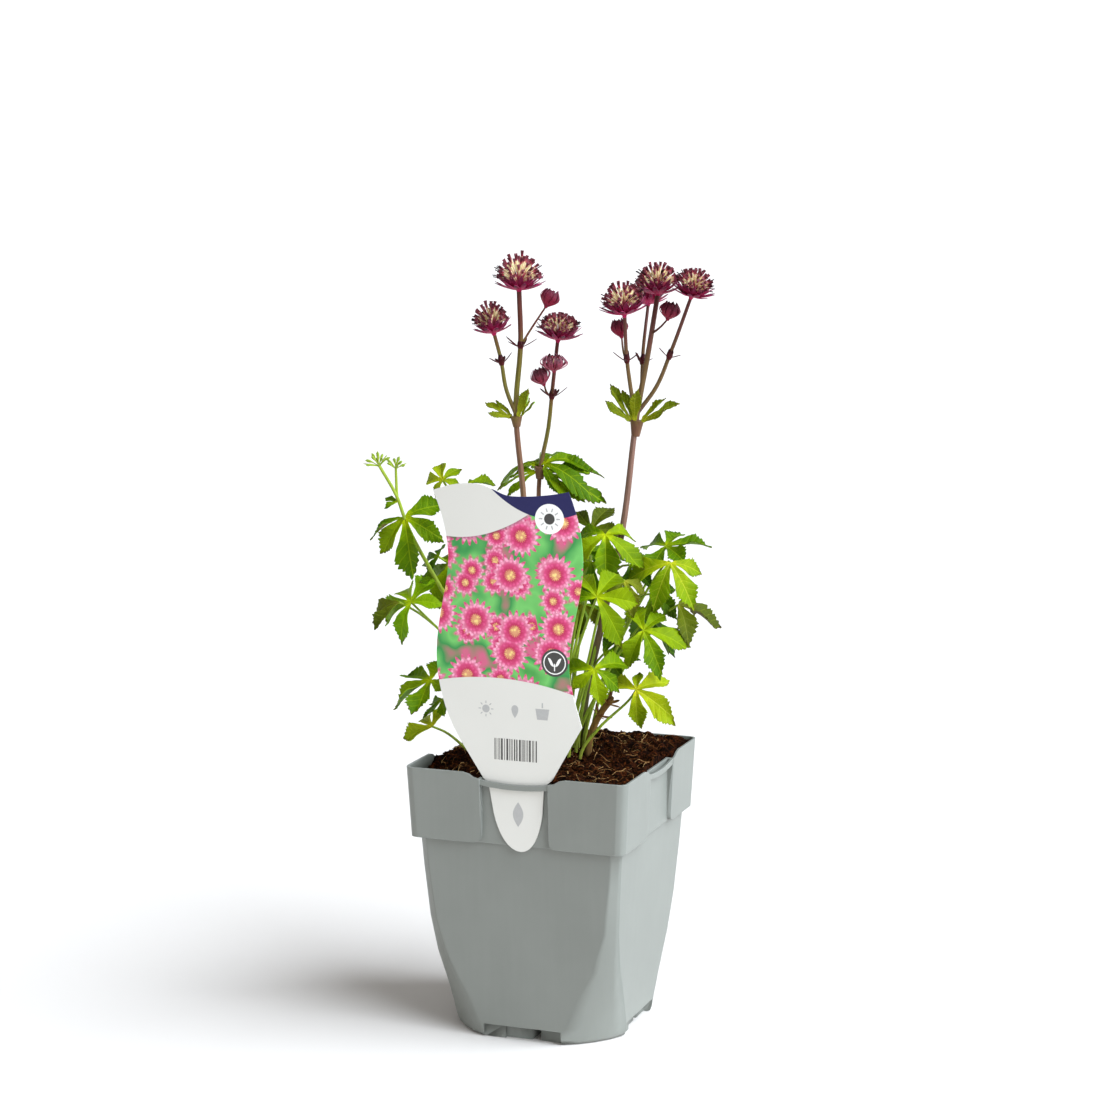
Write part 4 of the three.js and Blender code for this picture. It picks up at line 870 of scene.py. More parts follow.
flowerStems = {
    "stem_a": {
        "skin": flowerStemSkin, "slot": "stem_maroon",
        "limbs": [
            ([(-6, -8, 144), (-6.5, -8.5, 170), (-11, -10, 232), (-14, -12, 303), (-18, -13, 352),
              (-15.5, -12, 388), (-16, -13, 416)], 2, 1.4),
            ([(-17, -13, 346), (-23, -15, 362), (-26, -15, 378), (-29.9, -15, 392)], 1.2, 1.05),
            ([(-15.5, -12, 386), (-12, -9, 393), (-3.6, -4.6, 407.2)], 0.7, 0.5),
        ],
        "scales": [((-15.6, -12, 387), (0, 0, 1), 5, 9, 0.4), ((-26, -15, 378), (-0.2, 0, 1), 4, 7, 0.8)],
    },
    "stem_b": {
        "skin": shortStemSkin, "slot": "stem_maroon",
        "limbs": [
            ([(-2, 6, 145), (-3, 6, 170), (-8, 5, 250), (-10, 5, 318), (-6, 6, 338), (-4, 7, 359),
              (-1.1, 8, 387.5)], 1.7, 1.05),
            ([(-4, 7, 357), (-2, 3, 363), (0, -0.9, 371.2)], 0.7, 0.5),
            ([(-4, 7, 356), (-6.5, 5, 359), (-7.4, 3.6, 363.2)], 0.7, 0.5),
        ],
        "scales": [((-4, 7, 358), (0.1, 0, 1), 5, 8, 0.5)],
    },
    "stem_c": {
        "skin": taupeStemSkin, "slot": "stem_taupe",
        "limbs": [
            ([(13, 9, 146), (13.5, 9.5, 170), (25, 15, 236), (34, 18, 281), (42, 21, 350), (47, 23, 380),
              (51.6, 25.8, 413)], 2.3, 1.4),
            ([(41, 20.7, 344), (39, 17, 362), (38, 13, 379), (39.6, 4.7, 402.6)], 1.25, 1),
            ([(44, 21.7, 360), (42, 29, 378), (39.1, 46.8, 406)], 1.1, 0.9),
            ([(42, 21, 348), (52, 22.5, 362), (61, 21, 382), (74.4, 14.8, 412.8)], 1.25, 1),
            ([(49, 24, 392), (55, 21, 396), (59.4, 19.5, 400.2)], 0.7, 0.5),
            ([(38.6, 14.8, 374), (36, 14, 381), (35, 13, 390.2)], 0.7, 0.5),
        ],
        "scales": [((38, 13, 379), (0, -0.2, 1), 4, 8, 0.2), ((42.2, 28.6, 377), (0, 0.4, 1), 4, 7, 0.9),
                   ((60.6, 21, 381), (0.3, 0, 1), 4, 7, 0.3)],
    },
}

for name, stem in flowerStems.items():
    rng = random.Random(name)
    bm = newBody()
    for route, start, end in stem["limbs"]:
        addLimb(bm, route, [(0, start), (1, end)], sides=9, steps=max(8, 5 * len(route)))
    for ring in stem["scales"]:
        addScales(bm, rng, *ring)
    finishPiece(bm, camel(name), [stem["skin"], scaleSkin], [name])
print("flower stems:", len(flowerStems))

# Leafy whorls at the forks: a sheath, and lobed leaves that rise from it. Each leaf is a blade with its droop
slender = [(0, 1)]
forked = [(-17, 0.74), (2, 1.0), (20, 0.8)]
broad = [(0, 1), (50, 0.86), (-48, 0.92), (102, 0.66), (-98, 0.5)]
whorls = {
    "whorl_a": {
        "slot": "leaf", "skin": "whorl", "broad": 0.62,
        "centre": (-17.8, -13, 347), "axis": (-0.05, 0, 1), "radius": 2.9, "height": 6,
        "leaves": [
            ((-19.6, -13.6, 346), (-0.75, -0.35, 0.75), (0.5, -0.6, 0.6), 18, forked, -0.1),
            ((-16.5, -15.2, 346), (0.3, -0.25, 0.95), (-0.2, -0.9, 0.1), 18, slender, -0.1),
            ((-15.8, -12, 346), (0.5, 0.5, 0.9), (-0.6, -0.4, 0.5), 16, forked, -0.1),
        ],
    },
    "whorl_b": {
        "slot": "leaf_dark", "skin": "leaf", "broad": 0.9,
        "centre": (-10, 5, 317), "axis": (0.1, 0, 1), "radius": 3, "height": 7,
        "leaves": [
            ((-7.6, 3.4, 318.5), (0.78, 0.15, 0.8), (-0.3, -0.75, 0.65), 29, broad, 0.72),
            ((-11.4, 6.4, 317), (-0.75, 0.25, 0.7), (0.4, -0.5, 0.75), 28, forked, 0.75),
            ((-8.5, 3.6, 314), (0.95, 0, -0.1), (0.1, -0.6, 0.75), 36, forked, 0.15),
            ((-12, 4, 314), (-0.85, -0.3, 0.1), (0.1, -0.5, 0.85), 23, forked, 0.3),
        ],
    },
    "whorl_c": {
        "slot": "leaf", "skin": "whorl", "broad": 0.62,
        "centre": (41.6, 20.9, 343.5), "axis": (0.1, 0, 1), "radius": 3.3, "height": 9,
        "leaves": [
            ((39.4, 19.5, 342.5), (-0.45, -0.4, 1.15), (0.5, -0.7, 0.2), 25, forked, -0.15),
            ((41.2, 18, 342.5), (0.1, -0.3, 1), (0, -0.9, -0.3), 20, slender, -0.1),
            ((43.8, 20.1, 343), (0.85, -0.2, 0.72), (-0.4, -0.7, 0.6), 25, forked, 0.05),
        ],
    },
}
sheathProfile = [(0, 0.72), (0.5, 0.95), (1, 1.2)]
# How far a drooping lobe's tip also hangs by its weight, for each unit of its droop
stemHang = 0.6

for name, whorl in whorls.items():
    rng = random.Random(name)
    bm = newBody()
    for *blade, droop in whorl["leaves"]:
        addBlade(bm, rng, blade, 0.3, droop, stemHang * max(0, droop), whorl["broad"])
    place = standing(whorl["centre"], whorl["axis"])
    addLimb(bm, [place(0, 0, -whorl["height"] * share) for share in (1, 0.5, 0)], sheathProfile,
            sides=12, steps=6, size=whorl["radius"], materialIndex=2)
    skins = [leafSkins[whorl["skin"]], leafBacks["leaf"], flowerStemSkin]
    finishPiece(bm, camel(name), skins, [name])
print("whorls:", len(whorls))

# The green shoot at the left, with a leafy node and two umbels of small green buds
pair = [(-24, 0.82), (26, 0.8)]
shoot = {
    "main": [(-13, -16, 147), (-14.5, -17, 162), (-25, -20, 193), (-41, -26, 224), (-59, -33, 257),
             (-75, -38, 290), (-78, -40, 301), (-87, -45, 320)],
    "mainRadius": [(0, 1.5), (1, 0.9)],
    "side": [(-78.5, -40, 300), (-80, -37.5, 308), (-80.5, -37, 318)],
    "sideRadius": [(0, 0.9), (1, 0.7)],
    "leaves": [
        ((-75, -38, 291), (0.75, 0.1, -0.35), (-0.1, -0.85, 0.4), 29,
         [(0, 0.8), (55, 0.8), (-52, 1.1), (-104, 0.8)], 0.2),
        ((-76, -39, 291), (-0.85, -0.4, -0.15), (-0.1, -0.4, 0.9), 20, slender, 0.3),
        ((-78, -40, 300), (-0.8, -0.5, 0.35), (0, -0.6, 0.8), 11, pair, 0.1),
        ((-59, -33, 257), (-0.9, -0.3, 0.2), (0.1, -0.6, 0.8), 11, pair, 0.1),
    ],
    # Umbels: base, axis and how far their buds reach
    "umbels": [((-87, -45, 319.5), (-0.3, -0.2, 1), 9), ((-80.5, -37, 317.5), (0, 0.1, 1), 7)],
    "buds": 9,
    "bracts": 6,
    "budProfile": [(0, 0.28), (0.5, 0.28), (0.66, 0.8), (0.84, 0.95), (0.94, 0.6), (1, 0.1)],
}
rng = random.Random("shoot")
bm = newBody()
for *blade, droop in shoot["leaves"]:
    addBlade(bm, rng, blade, 0.35, droop, stemHang * droop)
addLimb(bm, shoot["main"], shoot["mainRadius"], sides=9, steps=40, materialIndex=2)
addLimb(bm, shoot["side"], shoot["sideRadius"], sides=8, steps=10, materialIndex=2)
for base, axis, reach in shoot["umbels"]:
    place = standing(base, axis)
    for i in range(shoot["buds"]):
        level = 1 - 0.8 * (i + 0.5) / shoot["buds"]
        far = reach * rng.uniform(0.75, 1.0)
        tip = onDome(level, i * goldenTurn, far, far, 1)
        addStalked(bm, place, tip, 0, shoot["budProfile"], rng.uniform(0.8, 1.1), rng.random(), 3)
    for i in range(shoot["bracts"]):
        angle = 2 * math.pi * (i + rng.uniform(-0.2, 0.2)) / shoot["bracts"]
        far = reach * rng.uniform(0.7, 0.95)
        addBract(bm, place, angle, lambda share: (0.5 + (far - 0.5) * share, 0.5 + far * 0.45 * share), 0.85,
                 rng.random(), 6, 3)
finishPiece(bm, "shootLeafy", [leafSkins["leaf"], leafBacks["leaf_olive"], shootSkin, greenBudSkin],
            ["shoot"])

# Old brown stem at the crown, with dried sheaths
stump = {
    "route": [(22, -4, 147), (23, -5, 165), (30, -8, 180), (38, -11, 190)],
    "radius": [(0, 2.3), (1, 1.7)],
    "axis": (0.6, -0.2, 0.8),
    "sheathReach": 8,
    # Sheaths: base, count and turn
    "sheaths": [((31, -8.3, 181), 5, 0.3), ((37, -10.7, 189), 6, 1)],
}
rng = random.Random("stump")
bm = newBody()
addLimb(bm, stump["route"], stump["radius"], sides=9, steps=14)
for base, count, turn in stump["sheaths"]:
    addScales(bm, rng, base, stump["axis"], count, stump["sheathReach"], turn)
finishPiece(bm, "stumpDried", [dryStemSkin, dryScale], ["stump"])
print("shoot and old stem ready")


# Soil: potting peat, dark and matt, torn into crumbs, with pale root threads and bits of bark

def peat(name, stops, scale, roughness=0.92):
    material, add, shader = newMaterial(name, {
        "Roughness": roughness, "IOR": 1.4, "Specular IOR Level": 0.04,
    })
    place = add("TexCoord").outputs["Object"]
    # Crumbs from 3 mm down to 0.4 mm
    crumbs = add("TexNoise", {"Vector": place, "Scale": scale, "Detail": 8.0, "Roughness": 0.68})
    fine = add("TexVoronoi", {"Vector": place, "Scale": scale * 2.4})
    mixed = add("Math", [fine, 0.28, crumbs], operation="MULTIPLY_ADD")
    mixed = add("Math", [mixed, 0.1], operation="SUBTRACT")
    bump = add("Bump", {"Height": mixed, "Strength": 0.8, "Distance": 0.0015})
    feed(shader, {"Base Color": add("ValToRGB", [mixed], stops), "Normal": bump})
    return material


peatSkin = peat("moist potting peat", {
    0.34: "030201", 0.5: "100603", 0.62: "2c1206", 0.75: "5c2e12", 0.88: "96602a",
}, 330.0)
crumbSkin = peat("peat crumb and bark", {0.3: "060302", 0.5: "1c0b04", 0.7: "46240e", 0.9: "784a20"}, 500.0)
rootThread = peat("pale root thread", {0.3: "70502c", 0.5: "9e764a", 0.7: "c4a06c"}, 300.0, 0.7)
darkThread = peat("brown fibre", {0.3: "2e180a", 0.5: "4e2e16", 0.7: "6e4826"}, 300.0, 0.8)

soilForm = {
    "innerHalf": 63.0,
    "recessFace": 59.2,
    "recessHalf": 21.8,
    "cornerRadius": 3.5,
    "cells": 150,
    "skirt": 143,
    # The loose layer stands this far over the firm soil; its middle depth, and where it is thinnest
    "lift": 0.5,
    "loose": 1.6,
    "thinnest": 0.15,
    # Clods, crumbs and grit: how many to the millimetre, how high, and a shift that parts their patterns
    "lumps": [(0.085, 2.0, (0, 0, 0)), (0.27, 1.5, (7, 3, 1)), (0.7, 0.8, (1, 9, 4))],
    # The sheet is cut this much too wide and is pressed against the wall
    "overlap": 0.6,
    "crumbs": 1100,
    "crumbsWithin": 61,
    "threads": 340,
    "threadsWithin": 58,
    "darkThreads": 0.55,
}


def soilHeight(x, y):
    spot = Vector((x, y, 0))
    lumps = [noise.noise(spot * pitch + Vector(shift)) * height for pitch, height, shift in soilForm["lumps"]]
    return soilTop(x, y) + soilForm["lift"] + max(soilForm["thinnest"], sum(lumps, soilForm["loose"]))


# Keeps a point of the surface inside the wall and in front of the four recesses
def insidePot(x, y):
    half, face, rounding = soilForm["innerHalf"], soilForm["recessFace"], soilForm["cornerRadius"]
    x = max(-half, min(half, x))
    y = max(-half, min(half, y))
    if abs(x) < soilForm["recessHalf"]:
        y = max(-face, min(face, y))
    if abs(y) < soilForm["recessHalf"]:
        x = max(-face, min(face, x))
    corner = half - rounding
    if abs(x) > corner and abs(y) > corner:
        away = math.hypot(abs(x) - corner, abs(y) - corner)
        if away > rounding:
            x = math.copysign(corner + (abs(x) - corner) * rounding / away, x)
            y = math.copysign(corner + (abs(y) - corner) * rounding / away, y)
    return x, y


bm = newBody()
made = bmesh.ops.create_grid(bm, x_segments=soilForm["cells"], y_segments=soilForm["cells"],
                             size=soilForm["innerHalf"] + soilForm["overlap"])["verts"]
for v in made:
    x, y = insidePot(v.co.x, v.co.y)
    v.co = (x, y, soilHeight(x, y))
bmesh.ops.remove_doubles(bm, verts=made, dist=0.05)
rim = [e for e in bm.edges if e.is_boundary]
skirt = bmesh.ops.extrude_edge_only(bm, edges=rim)["geom"]
skirtEdges = [item for item in skirt if isinstance(item, bmesh.types.BMEdge) and item.is_boundary]
for v in dict.fromkeys(v for e in skirtEdges for v in e.verts):
    v.co.z = soilForm["skirt"]
bmesh.ops.contextual_create(bm, geom=skirtEdges)
bmesh.ops.recalc_face_normals(bm, faces=bm.faces)
finishPiece(bm, "soilSurface", [peatSkin], sharpAngle=70)

# Loose crumbs and bark on the surface
rng = random.Random("crumbs")
bm = newBody()
for i in range(soilForm["crumbs"]):
    x, y = insidePot(*[rng.uniform(-soilForm["crumbsWithin"], soilForm["crumbsWithin"]) for axis in "xy"])
    big = rng.random() ** 2.2
    made = bmesh.ops.create_icosphere(bm, subdivisions=1, radius=1)["verts"]
    size = Vector((rng.uniform(0.6, 1.2), rng.uniform(0.4, 0.9), rng.uniform(0.35, 0.7))) * (0.7 + 1.5 * big)
    turn = rng.uniform(0, math.pi)
    height = soilHeight(x, y)
    for v in made:
        p = v.co * rng.uniform(0.75, 1.2)
        v.co = (x + p.x * size.x * math.cos(turn) - p.y * size.y * math.sin(turn),
                y + p.x * size.x * math.sin(turn) + p.y * size.y * math.cos(turn), height + p.z * size.z)
finishPiece(bm, "soilCrumbs", [crumbSkin], sharpAngle=25)

# Root threads and dry fibres that lie over it
rng = random.Random("threads")
bm = newBody()
for i in range(soilForm["threads"]):
    x, y = [rng.uniform(-soilForm["threadsWithin"], soilForm["threadsWithin"]) for axis in "xy"]
    heading = rng.uniform(0, 2 * math.pi)
    route = []
    for k in range(5):
        x, y = insidePot(x, y)
        route.append((x, y, soilHeight(x, y) + rng.uniform(-0.3, 1.3)))
        stride = rng.uniform(1.6, 3.6)
        heading += rng.uniform(-0.7, 0.7)
        x, y = x + stride * math.cos(heading), y + stride * math.sin(heading)
    thick = rng.uniform(0.1, 0.23)
    kind = int(rng.random() < soilForm["darkThreads"])
    addLimb(bm, route, [(0, 1.2), (1, 0.2)], sides=4, steps=8, size=thick, materialIndex=kind)
finishPiece(bm, "soilThreads", [rootThread, darkThread])
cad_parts["soil"].data.materials.clear()
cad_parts["soil"].data.materials.append(peatSkin)
print("soil ready")


# Pot: injection-moulded polypropylene, mid grey, with the satin skin a polished mould leaves

pot = {
    "light": "7d807a",
    "dark": "797c76",
    # Painted highlight on the edges, which also stands for a little wear
    "rubbed": "b4b8b4",
    # Painted shade of the inner wall, which also stands for peat dust
    "dust": "24241c",
    "roughness": 0.42,
    # How far the moulding breaks its edges, in metres
    "edge": 0.0005,
    # Height above which the inner wall has no painted shade and dust, and where they are darkest, in metres
    "dustTo": 0.156,
    "shadeAndDustFrom": 0.149,
}

potPlastic, add, shader = newMaterial("grey polypropylene", {"Roughness": pot["roughness"], "IOR": 1.49})
place = add("TexCoord").outputs["Object"]
# Slow cloudiness of recycled plastic, 40 mm across, and faint flow lines down the wall
clouds = add("TexNoise", {"Vector": place, "Scale": 26.0, "Detail": 3.0})
drawn = add("Mapping", {"Vector": place, "Scale": (260.0, 260.0, 9.0)})
flow = add("TexNoise", {"Vector": drawn, "Scale": 1.0, "Detail": 2.0})
mixed = add("Math", [flow, 0.35, clouds], operation="MULTIPLY_ADD")
# Painted highlight: edges are painted paler, as if they caught the light, which also stands for a little wear
edges = add("Bevel", {"Radius": pot["edge"]}, samples=4)
facing = add("NewGeometry").outputs["Normal"]
turned = add("VectorMath", [edges, facing], operation="DOT_PRODUCT")
rubbed = add("MapRange", {"Value": turned, "From Min": 0.99, "From Max": 0.86, "To Max": 0.6})
# Painted shade on the inner wall, darker towards the soil, which also stands for peat dust: faces that look
# to the pot's middle
outward = add("VectorMath", [place, (1, 1, 0)], operation="MULTIPLY")
inward = add("VectorMath", [outward, facing], operation="DOT_PRODUCT")
inside = add("MapRange", {"Value": inward, "From Min": -0.03, "From Max": -0.05})
height = add("SeparateXYZ", [place]).outputs["Z"]
deeper = add("MapRange", {"Value": height, "From Min": pot["dustTo"], "From Max": pot["shadeAndDustFrom"],
                          "To Max": 0.85})
dust = add("Math", [inside, deeper], operation="MULTIPLY")
colour = add("ValToRGB", [mixed], {0.5: pot["dark"], 0.85: pot["light"]})
for mask, ink in [(rubbed, pot["rubbed"]), (dust, pot["dust"])]:
    colour = add("Mix", {"Factor": mask, "A": colour, "B": ink}, data_type="RGBA")
# Mould grain of 0.5 mm
grain = add("TexNoise", {"Vector": place, "Scale": 2000.0, "Detail": 2.0})
bump = add("Bump", {"Height": grain, "Strength": 0.12, "Distance": 0.0001, "Normal": edges})
feed(shader, {"Base Color": colour, "Normal": bump})

bm = bmesh.new()
bm.from_mesh(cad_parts["pot"].data)
bmesh.ops.remove_doubles(bm, verts=bm.verts, dist=0.000001)
bmesh.ops.dissolve_limit(bm, angle_limit=math.radians(0.5), verts=bm.verts, edges=bm.edges)
bmesh.ops.scale(bm, vec=(1000, 1000, 1000), verts=bm.verts)
potPiece = finishPiece(bm, "potMoulded", [potPlastic], ["pot"], 36)
# Shading follows the broad faces, so that they stay even up to their rounded edges
evened = potPiece.modifiers.new("even shading", "WEIGHTED_NORMAL")
evened.keep_sharp = True
print("pot ready")


# Stick label: a printed card of plastic with a picture of pink flowers over green. The print is generic

label = {
    "front": -61.9,
    "thickness": 0.7,
    "bow": 1.4,
    "bowWidth": 42.0,
    "white": "efeeea",
    "greyInk": "a9a8a6",
    "darkInk": "3a3835",
    "greenery": {0.32: "c9607f", 0.42: "2f8a44", 0.55: "6fbf63", 0.72: "3c8f3f"},
    # Across a rosette, from its middle to the tips
    "rosette": {0: "f0d98a", 0.22: "e9c27a", 0.34: "b5214f", 0.6: "e0578f", 0.86: "f6b6cf", 1: "e0578f"},
    "rosetteSpeck": "b5214f",
    # Layers of rosettes: a cell's size in metres, a place in the pattern, petals and softness of the edge
    "rosettes": [(0.0168, 3.1, 11.0, 0.2), (0.02415, 6.4, 17.0, 0.04)],
    # Plain zones over the picture, each bounded by a parabola z = base + curve (x - middle) squared:
    # middle, curve and base in metres, which side is filled, its colour, and how strong its cast shadow is
    "zones": [
        (-0.035, 7.8, 0.285, 1.0, "d3d1ca", 0.5),
        (0.020, 13.3, 0.2975, 1.0, "13124c", 0.0),
        (-0.012, -3.2, 0.2085, -1.0, "d3d1ca", 0.15),
    ],
    # Outline: a start and bezier runs of three points; two points make a straight run
    "outline": [
        [(-48.4, 310), (-38, 314), (-28, 316), (-18, 314)], [(-18, 314), (-11, 312), (-8, 309), (-2, 308.8)],
        [(-2, 308.8), (8, 308.6), (20, 310), (30.7, 312.4)],
        [(30.7, 312.4), (37, 298), (39, 284), (38.8, 272)], [(38.8, 272), (38.5, 255), (31, 236), (31, 218)],
        [(31, 218), (31, 206), (36, 194), (38.7, 184.2)], [(38.7, 184.2), (21.5, 153.5)],
        [(21.5, 153.5), (17, 150)], [(17, 150), (15.8, 133)], [(15.8, 133), (14, 121), (10, 112), (3.3, 112)],
        [(3.3, 112), (-4, 112), (-10, 121), (-12.6, 133)], [(-12.6, 133), (-15.6, 149)],
        [(-15.6, 149), (-18.9, 152.3)], [(-18.9, 152.3), (-33, 173.7)],
        [(-33, 173.7), (-42, 188), (-46.6, 205), (-46.7, 220)],
        [(-46.7, 220), (-46.7, 240), (-39.3, 258), (-39.3, 273)],
        [(-39.3, 273), (-39.5, 286), (-43, 298), (-48.4, 310)],
    ],
}

# Matt print under a thin varnish: bright colours with a faint, broad shine
printedCard, add, shader = newMaterial("printed label card", {
    "Roughness": 0.38, "IOR": 1.5, "Coat Weight": 0.08, "Coat Roughness": 0.2, "Specular IOR Level": 0.3,
})
place = add("TexCoord").outputs["Object"]
x, y, z = add("SeparateXYZ", [place]).outputs
# Ground of the picture: out-of-focus greenery with pink patches, 20 mm across
blur = add("TexNoise", {"Vector": place, "Scale": 48.0, "Detail": 1.5})
colour = add("ValToRGB", [blur], label["greenery"])
# Rosettes: one in each cell of a scattered pattern, round a cell's own point
for cell, seedPlace, tipCount, softness in label["rosettes"]:
    u = add("Math", [x, 1 / cell, seedPlace], operation="MULTIPLY_ADD")
    w = add("Math", [z, 1 / cell, seedPlace], operation="MULTIPLY_ADD")
    flat = add("CombineXYZ", [u, w])
    cells = add("TexVoronoi", {"Vector": flat, "Scale": 1.0, "Randomness": 0.72}, voronoi_dimensions="2D")
    local = add("VectorMath", [flat, cells.outputs["Position"]], operation="SUBTRACT")
    reach = add("VectorMath", [local], operation="LENGTH")
    parts = add("SeparateXYZ", [local])
    turn = add("Math", [parts.outputs["Y"], parts.outputs["X"]], operation="ARCTAN2")
    fanned = add("Math", [turn, tipCount], operation="MULTIPLY")
    wave = add("Math", [fanned], operation="COSINE")
    # Petal tips at 0.49 of a cell, and the gaps between them at 0.35
    edge = add("Math", [wave, 0.07, 0.42], operation="MULTIPLY_ADD")
    share = add("Math", [reach, edge], operation="DIVIDE")
    mask = add("MapRange", {"Value": share, "From Min": 1 - softness, "From Max": 1 + softness,
                            "To Min": 1.0, "To Max": 0.0}, interpolation_type="SMOOTHSTEP")
    streaked = add("Math", [wave, 0.1, share], operation="MULTIPLY_ADD")
    petals = add("ValToRGB", [streaked], label["rosette"])
    # Specks, eleven across a cell, break up the plain colour
    speck = add("TexVoronoi", {"Vector": flat, "Scale": 11.0}, voronoi_dimensions="2D")
    specked = add("MapRange", {"Value": speck, "From Min": 0.2, "From Max": 0.45, "To Max": 0.5})
    flower = add("Mix", {"Factor": specked, "A": petals, "B": label["rosetteSpeck"]}, data_type="RGBA")
    shown = add("SeparateColor", [cells.outputs["Color"]]).outputs["Red"]
    chosen = add("Math", [shown, 0.3], operation="GREATER_THAN")
    mask = add("Math", [mask, chosen], operation="MULTIPLY")
    colour = add("Mix", {"Factor": mask, "A": colour, "B": flower}, data_type="RGBA")
for middle, curve, base, above, ink, shadow in label["zones"]:
    off = add("Math", [x, middle], operation="SUBTRACT")
    square = add("Math", [off, off], operation="MULTIPLY")
    line = add("Math", [square, curve, base], operation="MULTIPLY_ADD")
    past = add("Math", [z, line], operation="SUBTRACT")
    past = add("Math", [past, above], operation="MULTIPLY")
    shade = add("MapRange", {"Value": past, "From Min": -0.0022, "From Max": 0.0, "To Max": shadow},
                interpolation_type="SMOOTHSTEP")
    filled = add("MapRange", {"Value": past, "From Min": -0.0001, "From Max": 0.0001})
    for mask, tone in [(shade, "2a2426"), (filled, ink)]:
        colour = add("Mix", {"Factor": mask, "A": colour, "B": tone}, data_type="RGBA")
# A card is never quite flat: slow waves 30 mm long
waves = add("TexNoise", {"Vector": place, "Scale": 30.0, "Detail": 1.0})
bump = add("Bump", {"Height": waves, "Strength": 0.2, "Distance": 0.002})
feed(shader, {"Base Color": colour, "Normal": bump})


def flatInk(name, hexText):
    material, add, shader = newMaterial(name, {"Roughness": 0.35, "IOR": 1.5})
    place = add("TexCoord").outputs["Object"]
    # Slight unevenness of a printed solid, in grains of 1.4 mm
    grain = add("TexNoise", {"Vector": place, "Scale": 700.0, "Detail": 3.0})
    shade = add("MapRange", {"Value": grain, "To Min": 0.9, "To Max": 1.08})
    colour = add("VectorMath", [linear(hexText)[:3], shade], operation="MULTIPLY")
    feed(shader, {"Base Color": colour})
    return material


# Bows a point of the label back from its middle line, more above the strap than below
def bowed(x, z):
    return label["bow"] * (x / label["bowWidth"]) ** 2 * softStep(z, 160, 235)


# A closed flat shape on the front of the label, from its outline points
def addInk(bm, points, proud, materialIndex):
    made = bmesh.ops.create_circle(bm, cap_ends=True, segments=len(points), radius=1)["verts"]
    for v, (x, z) in zip(made, points):
        v.co = (x, label["front"] + bowed(x, z) - proud, z)
    face = made[0].link_faces[0]
    face.normal_update()
    if face.normal.y > 0:
        bmesh.ops.reverse_faces(bm, faces=[face])
    face.material_index = materialIndex
    bmesh.ops.extrude_face_region(bm, geom=[face], use_keep_orig=True)
    for v in made:
        v.co.y += proud + 0.1


def disc(x, z, radius, count=40):
    turns = [2 * math.pi * i / count for i in range(count)]
    return [(x + radius * math.cos(turn), z + radius * math.sin(turn)) for turn in turns]


def block(left, right, low, high):
    return [(left, low), (right, low), (right, high), (left, high)]


# Rays round a point, each narrowing from 0.1 to its taper
def addRays(bm, x, z, count, inner, outer, taper, proud):
    for turn in [2 * math.pi * i / count for i in range(count)]:
        corners = [(inner, turn - 0.1), (outer, turn - taper), (outer, turn + taper), (inner, turn + 0.1)]
        addInk(bm, [(x + r * math.cos(a), z + r * math.sin(a)) for r, a in corners], proud, grey)


# Outline of a pointed leaf: the share of its length, and how far out it is to one side or the other
def leafSign(steps):
    there = [(k / steps, 1) for k in range(steps + 1)]
    back = [(k / steps, -1) for k in range(steps - 1, 0, -1)]
    return [(t, side * math.sin(math.pi * t)) for t, side in there + back]


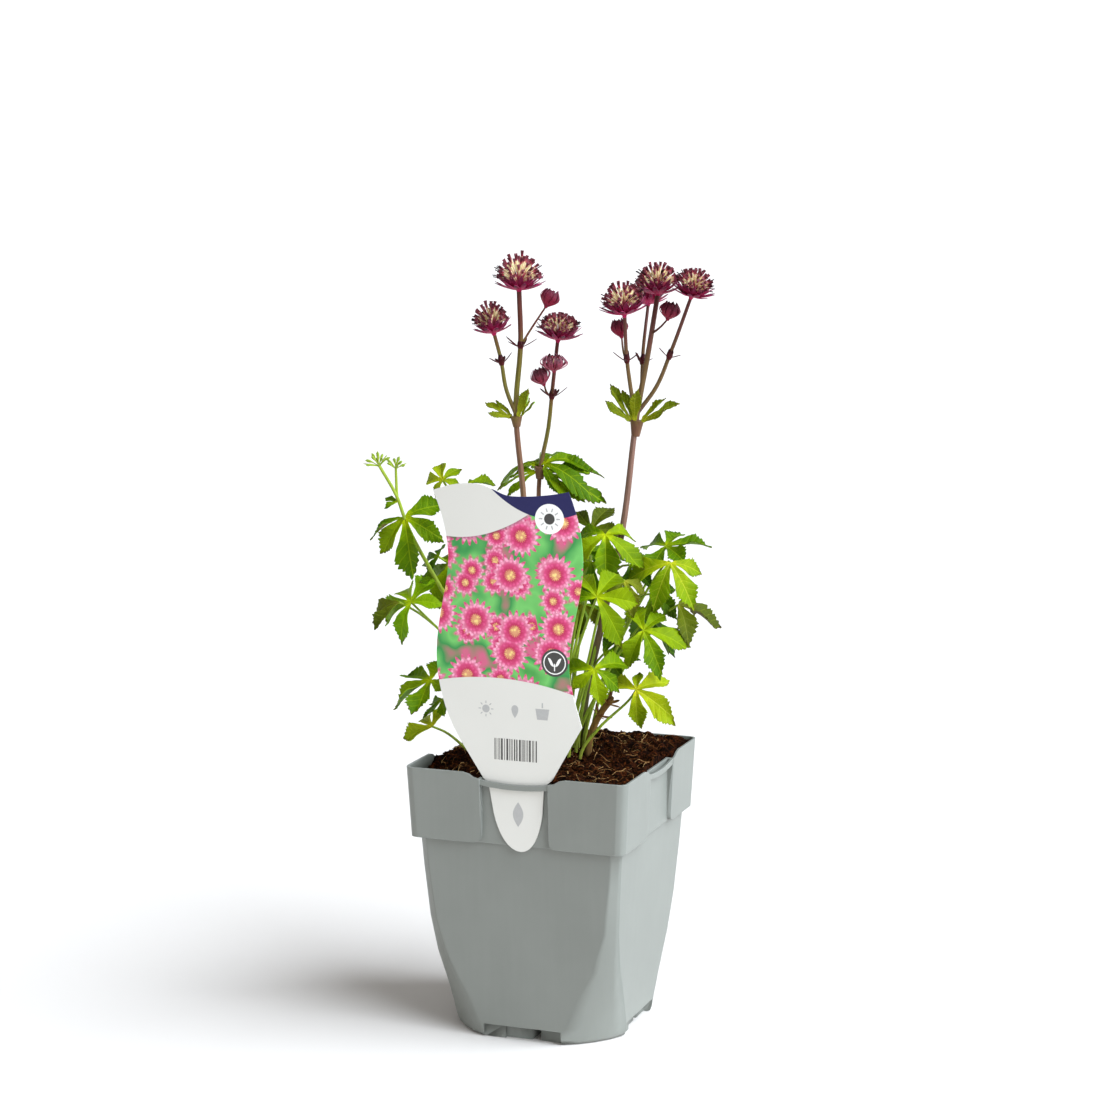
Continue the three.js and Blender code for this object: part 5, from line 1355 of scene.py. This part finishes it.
outline = []
for run in label["outline"]:
    points = [Vector((x, z, 0)) for x, z in run]
    if len(points) == 4:
        points = geometry.interpolate_bezier(*points, 9)
    outline += points[:-1]
bm = bmesh.new()
made = bmesh.ops.create_circle(bm, cap_ends=True, segments=len(outline), radius=1)["verts"]
for v, point in zip(made, outline):
    v.co = (point.x, label["front"], point.y)
for axis, low, high, stride in [((1, 0, 0), -48, 40, 4), ((0, 0, 1), 116, 312, 8)]:
    for at in range(low, high, stride):
        bmesh.ops.bisect_plane(bm, geom=bm.verts[:] + bm.edges[:] + bm.faces[:], dist=0.0001,
                               plane_co=[c * at for c in axis], plane_no=axis)
for face in bm.faces:
    face.normal_update()
bmesh.ops.reverse_faces(bm, faces=[f for f in bm.faces if f.normal.y > 0])
for v in bm.verts:
    v.co.y += bowed(v.co.x, v.co.z)
white, grey, dark = 1, 2, 3
thicken(bm, list(bm.verts), label["thickness"], white)
# Sun stud at the top of the picture
studX, studZ = 20, 297.5
addInk(bm, disc(studX, studZ, 8.2), 0.08, white)
addInk(bm, disc(studX, studZ, 3.0, 24), 0.12, dark)
addRays(bm, studX, studZ, 10, 4.0, 6.0, 0.05, 0.12)
# Seedling stud at its foot: two leaves on a short stem
studX, studZ = 23, 219
for radius, proud, ink in [(7.6, 0.08, dark), (6.4, 0.1, white), (5.8, 0.12, dark)]:
    addInk(bm, disc(studX, studZ, radius), proud, ink)
for lean in (-1, 1):
    leaf = [(studX + lean * (0.3 + 3.6 * t), studZ - 2 + 4.6 * t + 1.5 * out) for t, out in leafSign(8)]
    addInk(bm, leaf, 0.14, white)
addInk(bm, block(studX - 0.3, studX + 0.3, 214.5, 218.5), 0.14, white)
# Care signs: sun, drop and pot height
addInk(bm, disc(-17, 191, 2.2, 24), 0.05, grey)
addRays(bm, -17, 191, 8, 3.0, 4.4, 0.06, 0.05)
drop = [2 * math.pi * k / 28 for k in range(28)]
addInk(bm, [(2.6 * math.sin(a) * math.sin(a / 2), 190.5 - 3.6 * math.cos(a)) for a in drop], 0.05, grey)
addInk(bm, [(13, 187), (19, 187), (20, 193), (12, 193)], 0.05, grey)
addInk(bm, block(15.6, 16.4, 193.6, 196.4), 0.05, grey)
# Price bars in uneven widths
rng = random.Random("bars")
at = -12.0
while at < 12.5:
    wide = rng.choice((0.35, 0.35, 0.7, 1.0))
    addInk(bm, block(at, at + wide, 163, 175), 0.04, dark)
    at += wide + rng.choice((0.35, 0.6, 0.9))
# Plain leaf sign on the tongue
addInk(bm, [(1.8 + 3.06 * out, 126 + 14 * t) for t, out in leafSign(12)], 0.04, grey)
inks = [flatInk("label white", label["white"]), flatInk("label grey ink", label["greyInk"]),
        flatInk("label dark ink", label["darkInk"])]
finishPiece(bm, "stickLabel", [printedCard] + inks, ["tag"], 30)
print("stick label ready")
